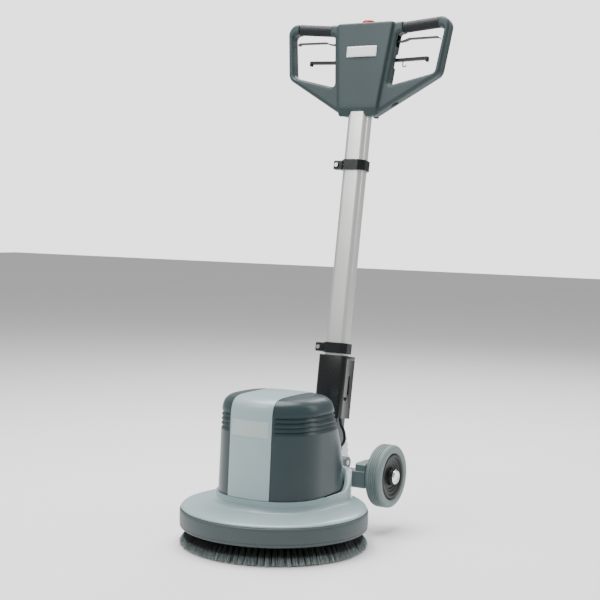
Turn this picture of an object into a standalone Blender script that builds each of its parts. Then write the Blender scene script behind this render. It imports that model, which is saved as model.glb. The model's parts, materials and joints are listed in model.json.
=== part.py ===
"""Rotary floor machine: one brush on a planetary gear motor, a domed deck with a soft
bumper, a tilting handle with two hand loops, and a pair of transport wheels.

Metres, +Z up, the machine faces -Y. The origin is on the floor under the middle of the
whole machine. Every piece is drawn about the brush spindle (x = 0, y = 0) and hangs on
an empty that carries the spindle's place. Handle pieces are drawn in the handle's own
axes: x across, y rearward from the tube's axis, z up the tube from the tilt pivot.
"""
import math

import bmesh
import bpy
from mathutils import Matrix, Vector

# ---------------------------------------------------------------- driving dimensions
GAP = 0.0003                 # between pieces that touch
RUN = 0.0006                 # between pieces that turn or slide on each other
SPINDLE_Y = -0.1095          # spindle, seen from the middle of the machine's box

# deck, bumper and brush
BUMPER_R = 0.215
BUMPER_BOTTOM = 0.041
BUMPER_HEIGHT = 0.042
BUMPER_WALL = 0.009
DECK_LIP = 0.0035            # bumper's outer face to the deck's rim
SKIRT_BOTTOM = 0.046
SHEET = 0.004                # wall of the deck casting
DECK_FLOOR_Z = 0.112         # face that the motor flange sits on
COLLAR_TOP = 0.120
COLLAR_SIDE = 0.003          # collar outside the motor cover at the front
COLLAR_FLARE = 0.0135        # and this much more at the rear corners
EAR_RISE = 0.040             # the collar climbs by this towards the hinge
BRISTLE_LENGTH = 0.042
BRUSH_R = BUMPER_R - 0.0015  # the bristles' outer edge on the floor
BRUSH_SPLAY = 0.0225         # how far the outer bristles lean out
BRUSH_ROOT_R = BRUSH_R - BRUSH_SPLAY
BRUSH_INNER_R = 0.095
BLOCK_BORE_R = 0.060
BLOCK_THICKNESS = 0.014
PLATE_R = 0.040              # drive plate, and the reach of its three lugs
PLATE_LUG_R = 0.056
PLATE_THICKNESS = 0.0070
PLATE_CLEAR = 0.0012         # plate to its socket
SOCKET_R = 0.076
SOCKET_DEPTH = 0.0075

# planetary gearbox: ring 90, planet 39, sun 12 gives 8.5 to 1
MODULE = 0.00125
RING_TEETH = 90
PLANET_TEETH = 39
SUN_TEETH = 12
PLANETS = 3
GEAR_WIDTH = 0.013
GEAR_BACKLASH = 0.0003
GEARBOX_WALL = 0.004
GEAR_Z = 0.0895              # lower face of the gears
HUB_R = 0.0155               # output hub
PIN_R = 0.005                # planet pins
CARRIER_THICKNESS = 0.005
BEARING_OUTER = 0.026        # output bearing
GEARBOX_BOTTOM = 0.0685
GEARBOX_FLOOR = 0.003

# motor
MOTOR_R = 0.080
MOTOR_WALL = 0.003
MOTOR_TOP = 0.275
MOTOR_FLANGE = 0.008         # flange beyond the motor's body
STATOR_LENGTH = 0.080
ROTOR_R = 0.0405
AIR_GAP = 0.0015
SHAFT_R = 0.010
PINION_SHAFT_R = 0.0045
CAPACITOR_R = 0.0185
CAPACITOR_LENGTH = 0.085
CAPACITOR_X = 0.030
CAPACITOR_CLEAR = 0.002      # to the motor's flange
SEAT_DEPTH = 0.009           # bearing seats
SEAT_WALL = 0.004
LOWER_BEARING_R = 0.0235
UPPER_BEARING_R = 0.0200
UPPER_BEARING_HEIGHT = 0.010
STATOR_Z = 0.142
FAN_RISE = 0.016             # fan above the motor
FAN_HEIGHT = 0.014
FAN_BLADES = 7

# motor cover
COVER_HALF_WIDTH = 0.126
COVER_FRONT = 0.126
COVER_REAR = 0.178
COVER_BOTTOM = 0.1215
COVER_TOP = 0.346
COVER_WAIST = 0.87           # rear length half way up, as a share of the foot
COVER_WALL = 0.0035
SHOULDER = 0.036             # the cover rounds over from here up
STRIPE_HALF = 0.054          # centre panel
STRIPE_PROUD = 0.0008
BADGE = 0.0008               # thickness of the blank label plates
COVER_BADGE_HALF = 0.048
COVER_BADGE_SPAN = (0.2595, 0.2955)

# handle tube
TUBE_WIDTH = 0.054
TUBE_DEPTH = 0.040
TUBE_CORNER = 0.012
TUBE_WALL = 0.0025

# wheels and hinge
WHEEL_R = 0.0750
WHEEL_WIDTH = 0.040
RIM_R = 0.0545
WHEEL_INNER_X = 0.1345
AXLE_R = 0.008
AXLE_Y = BUMPER_R + 0.0395
AXLE_Z = 0.133
CAP_R = 0.0175
CAP_THICKNESS = 0.005
ARM_NOSE_R = 0.0272          # the arms' round ends about the axle
ARM_TOP = 0.1665
BRACKET_FOOT_Z = 0.1035      # where the bracket stands on the deck
BRACKET_FOOT_HALF = 0.056
BEAM_FRONT = COVER_REAR + 0.0205
BEAM_DEPTH = 0.0225
BEAM_TOP = 0.150
PIVOT_Y = COVER_REAR + 0.0584
PIVOT_Z = 0.156
PIVOT_R = 0.006
BOSS_R = 0.0145
FORK_HALF = TUBE_WIDTH / 2 - TUBE_WALL   # half width of the handle's fork
CHEEK_INNER = FORK_HALF + 0.0020
CHEEK_OUTER = 0.0600
ARM_INNER = 0.098
SECTOR_R = 0.100
SECTOR_HALF = 0.006
SECTOR_ARC = (-14.0, 98.0)   # degrees from upright, rearward
SECTOR_NOTCHES = 13
NOTCH_FLOOR = 0.1205         # bottom of the gap between the hinge cheeks

# handle
LEAN = math.radians(8.7)     # the handle leans back by this at rest
FORK_PLATE_CLEAR = 0.003     # each fork plate to the sector
FORK_REACH = SECTOR_R + 0.016
TUBE_BOTTOM = FORK_REACH + 0.006
BOX_HALF = TUBE_WIDTH / 2 + 0.0105
BOX_FRONT = 0.026
BOX_REAR = 0.034
BOX_CORNER = 0.010
BOX_BOTTOM = SECTOR_R + 0.004
BOX_TOP = BOX_BOTTOM + 0.151
LEAD_R = 0.0035
LEAD_X = BOX_HALF - 0.0075   # where the motor's lead leaves the hinge box
LEAD_D = -0.006
GLAND_R = 0.0085
GLAND_LENGTH = 0.0155
GLAND_Z = 0.188
CLAMP_HEIGHT = 0.0255
CLAMP_WALL = 0.006
CLAMP_FACET = 0.014
CLAMP_EAR = 0.022
CLAMP_SPLIT = (-0.0090, -0.0060)
CLAMP_SCREW_R = 0.0024
CLAMP_SCREW_OUT = 0.012      # screw to the clamp's side
LATCH_R = 0.004
LATCH_CLEAR = 0.0006         # latch tip to the sector's teeth

# control head
HEAD_TOP = 1.0815            # up the tube from the tilt pivot: the handle's length
HEAD_HEIGHT = 0.2365
HEAD_BOTTOM = HEAD_TOP - HEAD_HEIGHT
TUBE_TOP = HEAD_BOTTOM + 0.085
CLAMP_PLACES = {"lower": BOX_TOP + 0.0050, "upper": HEAD_BOTTOM - 0.1330}
PANEL_TOP_HALF = 0.079
PANEL_FOOT_HALF = 0.053
HEAD_FRONT = 0.027
HEAD_REAR = 0.033
HEAD_WALL = 0.003
LOOP_HALF = 0.0165           # half depth of the hand loops
LOOP_CHAMFER = 0.006
GRIP_R = 0.0142
GRIP_BAR_R = 0.0105
GRIP_INNER_X = 0.100
GRIP_OUTER_X = 0.196
GRIP_Z = HEAD_TOP - 0.0128   # grip axis at its inner end
GRIP_RISE = math.radians(5.0)
SWITCH_LEVER_Z = HEAD_TOP - 0.0440
LOWER_LEVER_Z = HEAD_TOP - 0.0915
HEAD_BADGE_HALF = 0.0415
HEAD_BADGE_SPAN = (HEAD_TOP - 0.0885, HEAD_TOP - 0.0620)
LOWER_LEVER_FRONT = 0.0065   # the lower levers run behind the latch rod
LOWER_LEVER_REAR = 0.0165
SWITCH_PIVOT_X = 0.066
TILT_PIVOT_X = 0.035
SOLUTION_PIVOT_X = 0.060
LEVER_PIN_R = 0.0030
LEVER_EYE_R = 0.0065
BUTTON_R = 0.018
BUTTON_DEPTH = 0.010         # skirt below the head's top
BUTTON_TRAVEL = 0.003
INLET_PLACE = (0.0310, 0.0250)   # the mains cord inlet under the head
INLET_R = 0.0070
INLET_BORE_R = 0.0045

FAR = 0.5                    # reach of a cutter that passes the whole machine
ROUND = 44                   # sides of the big circles
FINE = 28
SMALL = 16
INSIDE = 20                  # sides of the hidden motor and gearbox castings

BLUE_GREY = (0.40, 0.48, 0.49)
DARK_GREEN = (0.075, 0.11, 0.115)
BLACK = (0.015, 0.017, 0.018)


# ---------------------------------------------------------------- the empty scene
for old in list(bpy.data.objects):
    bpy.data.objects.remove(old, do_unlink=True)
model = bpy.data.collections.new("rotary_floor_machine")
bpy.context.scene.collection.children.link(model)


# ---------------------------------------------------------------- small tools
def material(name, colour, roughness=0.5, metallic=0.0):
    mat = bpy.data.materials.new(name)
    mat.use_nodes = True
    shader = mat.node_tree.nodes["Principled BSDF"]
    shader.inputs["Base Color"].default_value = (*colour, 1.0)
    shader.inputs["Roughness"].default_value = roughness
    shader.inputs["Metallic"].default_value = metallic
    mat.diffuse_color = (*colour, 1.0)
    return mat


def frame(name, place, turn=(0.0, 0.0, 0.0), parent=None):
    """An empty that carries pieces."""
    empty = bpy.data.objects.new(name, None)
    empty.location = place
    empty.rotation_euler = turn
    empty.parent = parent
    model.objects.link(empty)
    return empty


def from_bmesh(bm, name="shape", outward=True):
    """Make an object; outward turns the faces of a shape without inner voids outwards."""
    mesh = bpy.data.meshes.new(name)
    if outward:
        bmesh.ops.recalc_face_normals(bm, faces=bm.faces)
    bm.to_mesh(mesh)
    bm.free()
    shape = bpy.data.objects.new(name, mesh)
    bpy.context.scene.collection.objects.link(shape)
    return shape


def freeze(shape, outward=True):
    """Turn a curve or an object with modifiers into one plain mesh object."""
    bpy.context.view_layer.update()
    graph = bpy.context.evaluated_depsgraph_get()
    mesh = bpy.data.meshes.new_from_object(shape.evaluated_get(graph))
    bm = bmesh.new()
    bm.from_mesh(mesh)
    bpy.data.meshes.remove(mesh)
    bm.transform(shape.matrix_world)
    bmesh.ops.remove_doubles(bm, verts=bm.verts, dist=0.00001)
    bpy.data.objects.remove(shape, do_unlink=True)
    return from_bmesh(bm, outward=outward)


def moved(shape, place=(0, 0, 0), turn=Matrix.Identity(4)):
    shape.data.transform(Matrix.Translation(place) @ turn)
    return shape


def box(low, high, bevel=0.0):
    """A box between two corners, its edges rounded by bevel."""
    bm = bmesh.new()
    bmesh.ops.create_cube(bm, size=1.0)
    size = Vector(high) - Vector(low)
    bmesh.ops.scale(bm, vec=size, verts=bm.verts)
    bmesh.ops.translate(bm, vec=(Vector(high) + Vector(low)) / 2, verts=bm.verts)
    if bevel:
        bmesh.ops.bevel(bm, geom=bm.edges, offset=bevel, segments=1, affect="EDGES")
    return from_bmesh(bm)


def rod(radius, start, end, sides=SMALL, end_radius=None):
    """A cylinder or cone between two points."""
    start = Vector(start)
    run = Vector(end) - start
    bm = bmesh.new()
    bmesh.ops.create_cone(
        bm, cap_ends=True, segments=sides, radius1=radius,
        radius2=radius if end_radius is None else end_radius, depth=run.length,
    )
    turn = run.to_track_quat("Z", "Y").to_matrix().to_4x4()
    bmesh.ops.transform(bm, matrix=Matrix.Translation(start + run / 2) @ turn, verts=bm.verts)
    return from_bmesh(bm)


def turned(profile, sides=ROUND, closed=True):
    """Revolve a profile of (radius, height) about Z; closed profiles make rings."""
    mesh = bpy.data.meshes.new("profile")
    count = len(profile)
    edges = [(i, i + 1) for i in range(count - 1)]
    if closed:
        edges.append((count - 1, 0))
    mesh.from_pydata([(r, 0.0, z) for r, z in profile], edges, [])
    shape = bpy.data.objects.new("turned", mesh)
    bpy.context.scene.collection.objects.link(shape)
    screw = shape.modifiers.new("Screw", "SCREW")
    screw.axis = "Z"
    screw.steps = sides
    screw.render_steps = sides
    screw.use_merge_vertices = True
    screw.merge_threshold = 0.00001
    return freeze(shape)


def ring(inner, outer, low, high, sides=FINE):
    return turned([(outer, high), (outer, low), (inner, low), (inner, high)], sides)


def extruded(outlines, thickness, chamfer=0.0):
    """Flat outlines, the first the edge and the rest its holes, from z = 0 upwards."""
    data = bpy.data.curves.new("outline", "CURVE")
    data.dimensions = "2D"
    data.fill_mode = "BOTH"
    data.extrude = thickness / 2 - chamfer
    data.bevel_depth = chamfer
    data.bevel_resolution = 0
    data.offset = -chamfer
    for points in outlines:
        spline = data.splines.new("POLY")
        spline.points.add(len(points) - 1)
        for point, (x, y) in zip(spline.points, points):
            point.co = (x, y, 0.0, 1.0)
        spline.use_cyclic_u = True
    shape = bpy.data.objects.new("extruded", data)
    shape.location = (0.0, 0.0, thickness / 2)
    bpy.context.scene.collection.objects.link(shape)
    return freeze(shape)


def wire(points, radius, resolution=2):
    """A round bar along a path."""
    data = bpy.data.curves.new("wire", "CURVE")
    data.dimensions = "3D"
    data.bevel_depth = radius
    data.bevel_resolution = resolution
    data.use_fill_caps = True
    spline = data.splines.new("POLY")
    spline.points.add(len(points) - 1)
    for point, place in zip(spline.points, points):
        point.co = (*place, 1.0)
    shape = bpy.data.objects.new("wire", data)
    bpy.context.scene.collection.objects.link(shape)
    return freeze(shape)


def boolean(shape, others, operation):
    for other in others:
        modifier = shape.modifiers.new("Boolean", "BOOLEAN")
        modifier.operation = operation
        modifier.solver = "EXACT"
        modifier.object = other
        shape = freeze(shape, outward=False)
        bpy.data.objects.remove(other, do_unlink=True)
    return shape


def joined(shape, *others):
    return boolean(shape, others, "UNION")


def cut(shape, *others):
    return boolean(shape, others, "DIFFERENCE")


def kept(shape, other):
    return boolean(shape, [other], "INTERSECT")


def piece(name, shape, mat, parent, smooth=35.0):
    """Name a finished shape, give it its material and hang it on its body."""
    shape.name = name
    shape.data.name = name
    shape.data.materials.append(mat)
    shape.data.shade_smooth()
    shape.data.set_sharp_from_angle(angle=math.radians(smooth))
    bpy.context.scene.collection.objects.unlink(shape)
    model.objects.link(shape)
    shape.parent = parent
    return shape


def smoothstep(value):
    value = min(max(value, 0.0), 1.0)
    return value * value * (3.0 - 2.0 * value)


def circle(radius, count=ROUND):
    turns = [2 * math.pi * i / count for i in range(count)]
    return [(radius * math.cos(a), radius * math.sin(a)) for a in turns]


def rounded_rectangle(half_width, half_depth, corner, steps=3):
    points = []
    for k, (sx, sy) in enumerate([(1, 1), (-1, 1), (-1, -1), (1, -1)]):
        for i in range(steps + 1):
            a = math.pi / 2 * (k + i / steps)
            points.append((
                sx * (half_width - corner) + corner * math.cos(a),
                sy * (half_depth - corner) + corner * math.sin(a),
            ))
    return points


def offset(points, distance):
    """Push a closed outline outwards; distance may depend on y."""
    moved_points = []
    count = len(points)
    for i, (x, y) in enumerate(points):
        ax, ay = points[i - 1]
        bx, by = points[(i + 1) % count]
        length = math.hypot(bx - ax, by - ay)
        step = distance(y) if callable(distance) else distance
        moved_points.append((x + step * (by - ay) / length, y - step * (bx - ax) / length))
    return moved_points


def blend(first, second, share):
    return [
        (ax + (bx - ax) * share, ay + (by - ay) * share)
        for (ax, ay), (bx, by) in zip(first, second)
    ]


def loft(sections, ends):
    """Skin through rings of points; ends is 'loop' (the last meets the first) or 'caps'."""
    bm = bmesh.new()
    rings = [[bm.verts.new(p) for p in section] for section in sections]
    pairs = list(zip(rings, rings[1:]))
    if ends == "loop":
        pairs.append((rings[-1], rings[0]))
    count = len(sections[0])
    for lower, upper in pairs:
        for i in range(count):
            k = (i + 1) % count
            bm.faces.new((lower[i], lower[k], upper[k], upper[i]))
    if ends == "caps":
        bm.faces.new(rings[0])
        bm.faces.new(rings[-1])
    bmesh.ops.remove_doubles(bm, verts=bm.verts, dist=0.00001)
    return from_bmesh(bm)


def at(points, height):
    """Lift an outline to a height, which may depend on y."""
    return [(x, y, height(y) if callable(height) else height) for x, y in points]


# ---------------------------------------------------------------- bodies
machine = frame("machine", (0.0, SPINDLE_Y, 0.0))
brush_body = frame("brush_spindle", (0.0, 0.0, 0.0), parent=machine)
rotor_body = frame("motor_axis", (0.0, 0.0, 0.0), parent=machine)
handle = frame("handle_pivot", (0.0, PIVOT_Y, PIVOT_Z), (-LEAN, 0.0, 0.0), machine)

deck_grey = material("deck_grey", BLUE_GREY, 0.38)
cover_green = material("cover_green", DARK_GREEN, 0.42)
soft_grey = material("bumper_rubber", (0.10, 0.13, 0.13), 0.6)
black_plastic = material("black_plastic", BLACK, 0.5)
steel = material("steel", (0.6, 0.6, 0.6), 0.3, 1.0)
aluminium = material("aluminium", (0.75, 0.76, 0.76), 0.35, 1.0)
cast_metal = material("cast_metal", (0.45, 0.46, 0.47), 0.5, 1.0)


# ---------------------------------------------------------------- deck and cover outlines
def egg(half_width, front, rear, front_power=2.3, rear_power=3.4):
    """The cover's plan: nearly round in front, squarer and longer behind."""
    points = []
    for i in range(ROUND):
        a = 2 * math.pi * i / ROUND
        power = front_power if math.sin(a) < 0 else rear_power
        length = front if math.sin(a) < 0 else rear
        points.append((
            half_width * math.copysign(abs(math.cos(a)) ** (2 / power), math.cos(a)),
            length * math.copysign(abs(math.sin(a)) ** (2 / power), math.sin(a)),
        ))
    return points


COVER_PLAN = egg(COVER_HALF_WIDTH, COVER_FRONT, COVER_REAR)


def collar_offset(y):
    return COLLAR_SIDE + COLLAR_FLARE * smoothstep(y / (0.75 * COVER_REAR))


def collar_top(y):
    return COLLAR_TOP + EAR_RISE * smoothstep((y - 0.5 * COVER_REAR) / (0.4 * COVER_REAR))


def deck_housing():
    rim = circle(BUMPER_R - DECK_LIP)
    skirt = circle(BUMPER_R - BUMPER_WALL - GAP)
    skirt_inside = circle(BUMPER_R - BUMPER_WALL - GAP - SHEET)
    hole = circle(MOTOR_R - 0.002)
    collar = offset(COVER_PLAN, collar_offset)
    collar_inside = offset(COVER_PLAN, STRIPE_PROUD + RUN)
    bumper_top = BUMPER_BOTTOM + BUMPER_HEIGHT
    dome = [(0.0, 0.0035), (0.06, 0.0080), (0.30, 0.0130), (0.62, 0.0160), (0.86, 0.0180), (0.96, 0.0210)]
    sections = [at(skirt, SKIRT_BOTTOM), at(skirt, bumper_top + GAP), at(rim, bumper_top + GAP)]
    for share, rise in dome:
        sections.append(at(blend(rim, collar, share), bumper_top + rise))
    sections.append(at(collar, DECK_FLOOR_Z))
    sections.append(at(collar, collar_top))
    sections.append(at(collar_inside, collar_top))
    sections.append(at(collar_inside, DECK_FLOOR_Z))
    sections.append(at(hole, DECK_FLOOR_Z))
    sections.append(at(hole, DECK_FLOOR_Z - 1.5 * SHEET))
    for share, rise in [(0.92, 0.0180), (0.62, 0.0160), (0.06, 0.0080)]:
        sections.append(at(blend(skirt_inside, collar, share), bumper_top + rise - SHEET))
    sections.append(at(skirt_inside, bumper_top - 0.001))
    sections.append(at(skirt_inside, SKIRT_BOTTOM))
    shape = loft(sections, "loop")
    half = BRACKET_FOOT_HALF + 0.002
    pad_rear = BEAM_FRONT + 0.004
    seat = BRACKET_FOOT_Z - GAP
    pad = box((-half, COVER_REAR - 0.01, bumper_top + 0.006), (half, pad_rear, seat))
    room = box((-half, BEAM_FRONT - 0.001 - RUN, seat), (half, BEAM_FRONT + BEAM_DEPTH, ARM_TOP))
    return cut(joined(shape, pad), room)


def bumper_ring():
    top = BUMPER_BOTTOM + BUMPER_HEIGHT
    inner = BUMPER_R - BUMPER_WALL
    return turned([
        (BUMPER_R - 0.0025, top), (BUMPER_R, top - 0.0035), (BUMPER_R, BUMPER_BOTTOM + 0.0075),
        (BUMPER_R - 0.0006, BUMPER_BOTTOM + 0.0065), (BUMPER_R - 0.004, BUMPER_BOTTOM),
        (inner, BUMPER_BOTTOM), (inner, top),
    ])


def cover_shell(grow, wall=COVER_WALL):
    """The whole motor cover as one thin bell, from grow outside its skin to wall inside."""
    straight = COVER_TOP - SHOULDER
    steps = [
        (COVER_BOTTOM, 1.0, 1.0, 1.0), (0.5 * (COVER_BOTTOM + straight), 0.982, 0.968, COVER_WAIST),
        (straight, 0.962, 0.935, 0.60), (COVER_TOP - 0.020, 0.925, 0.900, 0.565),
        (COVER_TOP - 0.0085, 0.845, 0.820, 0.505), (COVER_TOP - 0.0025, 0.68, 0.66, 0.40),
        (COVER_TOP, 0.30, 0.30, 0.18),
    ]

    def skin(inset, drop):
        rings = []
        for z, wide, ahead, behind in steps:
            plan = egg(COVER_HALF_WIDTH * wide, COVER_FRONT * ahead, COVER_REAR * behind)
            low = z == COVER_BOTTOM
            rings.append(at(offset(plan, -inset), z if low else z - drop))
        return rings

    outer = skin(-grow, -grow)
    inner = skin(wall, wall)
    return loft(outer[::-1] + inner, "caps")


def cover_part(side):
    """side -1 is the left shell, +1 the right one and 0 the centre panel."""
    if side == 0:
        keep = box((-STRIPE_HALF, -FAR, 0.0), (STRIPE_HALF, FAR, 1.0))
        return kept(cover_shell(STRIPE_PROUD), keep)
    inner = side * (STRIPE_HALF + GAP)
    low, high = sorted((inner, side * FAR))
    return kept(cover_shell(0.0), box((low, -FAR, 0.0), (high, FAR, 1.0)))


def cover_badge():
    """A blank plate bent round the front of the centre panel."""
    under = STRIPE_PROUD + GAP
    low, high = COVER_BADGE_SPAN
    window = box((-COVER_BADGE_HALF, -FAR, low), (COVER_BADGE_HALF, 0.0, high))
    return kept(cover_shell(under + BADGE, -under), window)


def head_badge():
    low, high = HEAD_BADGE_SPAN
    back = -HEAD_FRONT - GAP
    return box((-HEAD_BADGE_HALF, back - BADGE, low), (HEAD_BADGE_HALF, back, high))


# ---------------------------------------------------------------- gears
def tooth_half_angle(radius, teeth, widen):
    """Half the angle that a tooth fills at a radius, on a 20 degree involute."""
    pitch_r = MODULE * teeth / 2
    base_r = pitch_r * math.cos(math.radians(20))

    def involute(r):
        a = math.acos(min(1.0, base_r / r))
        return math.tan(a) - a

    return math.pi / (2 * teeth) + widen / (2 * pitch_r) + involute(pitch_r) - involute(radius)


def gear_outline(teeth, tip, root, widen):
    """Straight-sided teeth through the involute's root and tip, a tooth centred on +X."""
    pitch_r = MODULE * teeth / 2
    points = []
    for k in range(teeth):
        centre = 2 * math.pi * k / teeth
        low, high = pitch_r + root, pitch_r + tip
        for radius, sign in ((low, -1), (high, -1), (high, 1), (low, 1)):
            a = centre + sign * tooth_half_angle(radius, teeth, widen)
            points.append((radius * math.cos(a), radius * math.sin(a)))
    return points


ADDENDUM = 0.8 * MODULE
DEDENDUM = 1.2 * MODULE
RING_PITCH_R = MODULE * RING_TEETH / 2
RING_OUTER = RING_PITCH_R + DEDENDUM + 0.0045
PLANET_CIRCLE = MODULE * (SUN_TEETH + PLANET_TEETH) / 2
CARRIER_R = PLANET_CIRCLE + PIN_R + 0.003
CARRIER_TOP = GEAR_Z - 0.001
CARRIER_BOTTOM = CARRIER_TOP - CARRIER_THICKNESS
BEARING_TOP = CARRIER_BOTTOM - 0.0005
BLOCK_BOTTOM = BRISTLE_LENGTH + GAP
BLOCK_TOP = BLOCK_BOTTOM + BLOCK_THICKNESS
PLATE_BOTTOM = BLOCK_TOP + GAP
PLATE_TOP = PLATE_BOTTOM + PLATE_THICKNESS


def ring_gear():
    teeth = gear_outline(RING_TEETH, DEDENDUM, -ADDENDUM, GEAR_BACKLASH)
    shape = extruded([circle(RING_OUTER, INSIDE), teeth], GEAR_WIDTH)
    return moved(shape, (0, 0, GEAR_Z))


def planet_gear(turn):
    teeth = gear_outline(PLANET_TEETH, ADDENDUM, -DEDENDUM, -GEAR_BACKLASH)
    shape = extruded([teeth, circle(PIN_R + RUN, SMALL)], GEAR_WIDTH)
    shape = moved(shape, (PLANET_CIRCLE, 0, GEAR_Z))
    return moved(shape, turn=Matrix.Rotation(turn, 4, "Z"))


def sun_gear():
    teeth = gear_outline(SUN_TEETH, ADDENDUM, -DEDENDUM, -GEAR_BACKLASH)
    shape = extruded([teeth, circle(PINION_SHAFT_R + GAP, SMALL)], GEAR_WIDTH)
    return moved(shape, (0, 0, GEAR_Z))


def planet_carrier():
    shape = turned([
        (0.0, CARRIER_TOP), (CARRIER_R, CARRIER_TOP), (CARRIER_R, CARRIER_BOTTOM),
        (HUB_R, CARRIER_BOTTOM), (HUB_R, PLATE_TOP + GAP), (0.0, PLATE_TOP + GAP),
    ], FINE, closed=False)
    for k in range(PLANETS):
        a = 2 * math.pi * k / PLANETS
        x, y = PLANET_CIRCLE * math.cos(a), PLANET_CIRCLE * math.sin(a)
        low, high = CARRIER_TOP - 0.002, GEAR_Z + GEAR_WIDTH + 0.001
        shape = joined(shape, rod(PIN_R, (x, y, low), (x, y, high), SMALL))
    return shape


def gearbox_housing():
    inner = RING_OUTER + GAP
    outer = inner + GEARBOX_WALL
    top = DECK_FLOOR_Z
    seat = BEARING_OUTER + GAP
    floor = GEARBOX_BOTTOM + GEARBOX_FLOOR
    return turned([
        (outer, top), (outer, GEARBOX_BOTTOM + 0.008), (outer - 0.010, GEARBOX_BOTTOM),
        (HUB_R + 2 * RUN, GEARBOX_BOTTOM), (HUB_R + 2 * RUN, floor),
        (seat, floor), (seat, BEARING_TOP), (seat + SEAT_WALL, BEARING_TOP),
        (seat + SEAT_WALL, floor + 0.001), (outer - 0.012, floor + 0.001),
        (inner - 0.004, GEARBOX_BOTTOM + 0.012), (inner - 0.004, GEAR_Z - GAP), (inner, GEAR_Z - GAP),
        (inner, top),
    ], INSIDE)


# ---------------------------------------------------------------- motor
MOTOR_FLOOR = DECK_FLOOR_Z + GAP + 0.005
FAN_Z = MOTOR_TOP + FAN_RISE


def motor_housing():
    inner = MOTOR_R - MOTOR_WALL
    low = DECK_FLOOR_Z + GAP
    seat = LOWER_BEARING_R + GAP
    return turned([
        (MOTOR_R, MOTOR_TOP), (MOTOR_R, MOTOR_FLOOR), (MOTOR_R + MOTOR_FLANGE, MOTOR_FLOOR),
        (MOTOR_R + MOTOR_FLANGE, low), (PINION_SHAFT_R + 0.003, low), (PINION_SHAFT_R + 0.003, MOTOR_FLOOR),
        (seat, MOTOR_FLOOR), (seat, MOTOR_FLOOR + SEAT_DEPTH), (seat + SEAT_WALL, MOTOR_FLOOR + SEAT_DEPTH),
        (seat + SEAT_WALL, MOTOR_FLOOR + 0.001), (inner, MOTOR_FLOOR + 0.001), (inner, MOTOR_TOP),
    ], INSIDE)


def motor_end_bell():
    low = MOTOR_TOP + GAP
    seat = UPPER_BEARING_R + GAP
    outer = seat + SEAT_WALL
    return turned([
        (MOTOR_R, low + 0.004), (MOTOR_R, low), (outer, low), (outer, low - 0.006),
        (seat, low - 0.006), (seat, low + 0.008), (outer, low + 0.008), (outer, low + 0.004),
    ], INSIDE)


def rotor_shaft():
    top = FAN_Z + FAN_HEIGHT + 0.004
    tip = CARRIER_TOP + 0.0008
    return turned([
        (0.0, top), (SHAFT_R, top), (SHAFT_R, MOTOR_FLOOR + 0.001),
        (PINION_SHAFT_R, MOTOR_FLOOR + 0.0005), (PINION_SHAFT_R, tip), (0.0, tip),
    ], SMALL, closed=False)


def cooling_fan():
    bore = SHAFT_R + GAP
    shape = ring(bore, MOTOR_R - 0.022, FAN_Z, FAN_Z + 0.002, INSIDE)
    hub = ring(bore, bore + 0.006, FAN_Z, FAN_Z + FAN_HEIGHT, SMALL)
    shape = joined(shape, hub)
    for k in range(FAN_BLADES):
        blade_top = FAN_Z + FAN_HEIGHT - 0.001
        blade = box((bore + 0.004, -0.001, FAN_Z + 0.001), (MOTOR_R - 0.023, 0.001, blade_top))
        turn = Matrix.Rotation(2 * math.pi * (k + 0.5) / FAN_BLADES, 4, "Z")
        shape = joined(shape, moved(blade, turn=turn))
    return shape


# ---------------------------------------------------------------- brush
def brush_bristles():
    return turned([
        (BRUSH_ROOT_R, BRISTLE_LENGTH), (BRUSH_R - 0.006, 0.4 * BRISTLE_LENGTH), (BRUSH_R, 0.0),
        (BRUSH_INNER_R - 0.008, 0.0), (BRUSH_INNER_R, BRISTLE_LENGTH),
    ])


def lobed(radius, lobe, count=3, steps=8):
    """A round outline with a few square lugs."""
    points = []
    for k in range(count):
        centre = 2 * math.pi * k / count
        for i in range(steps + 1):
            a = centre - math.pi / count + 2 * math.pi / count * (i + 0.5) / (steps + 1)
            far = abs(a - centre) < 0.16 * math.pi
            r = lobe if far else radius
            points.append((r * math.cos(a), r * math.sin(a)))
    return points


def drive_plate():
    return moved(extruded([lobed(PLATE_R, PLATE_LUG_R)], PLATE_THICKNESS), (0, 0, PLATE_BOTTOM))


def brush_socket():
    hole = offset(lobed(PLATE_R, PLATE_LUG_R), PLATE_CLEAR)
    return moved(extruded([circle(SOCKET_R, FINE), hole], SOCKET_DEPTH), (0, 0, PLATE_BOTTOM))


# ---------------------------------------------------------------- wheels and hinge
def tyre(side):
    half = WHEEL_WIDTH / 2
    shape = turned([
        (RIM_R + GAP + 0.004, half), (WHEEL_R - 0.006, half), (WHEEL_R, half - 0.006), (WHEEL_R, -half + 0.006),
        (WHEEL_R - 0.006, -half), (RIM_R + GAP + 0.004, -half), (RIM_R + GAP, -half + 0.004),
        (RIM_R + GAP, half - 0.004),
    ], FINE)
    return wheel_place(shape, side)


def wheel_rim(side):
    half = WHEEL_WIDTH / 2
    bore = AXLE_R + RUN
    shape = turned([
        (bore + 0.010, half + 0.003), (bore + 0.012, half - 0.004), (0.030, half - 0.006),
        (0.038, half - 0.002), (RIM_R - 0.004, half - 0.003), (RIM_R, half - 0.006),
        (RIM_R, -half + 0.006), (RIM_R - 0.004, -half + 0.003),
        (0.030, -half + 0.008), (bore + 0.008, -half + 0.001), (bore, -half + 0.001), (bore, half + 0.003),
    ], FINE)
    return wheel_place(shape, side)


def wheel_place(shape, side):
    turn = Matrix.Rotation(side * math.pi / 2, 4, "Y")
    return moved(shape, (side * (WHEEL_INNER_X + WHEEL_WIDTH / 2), AXLE_Y, AXLE_Z), turn)


CAP_X = WHEEL_INNER_X + WHEEL_WIDTH + 0.003


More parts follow.
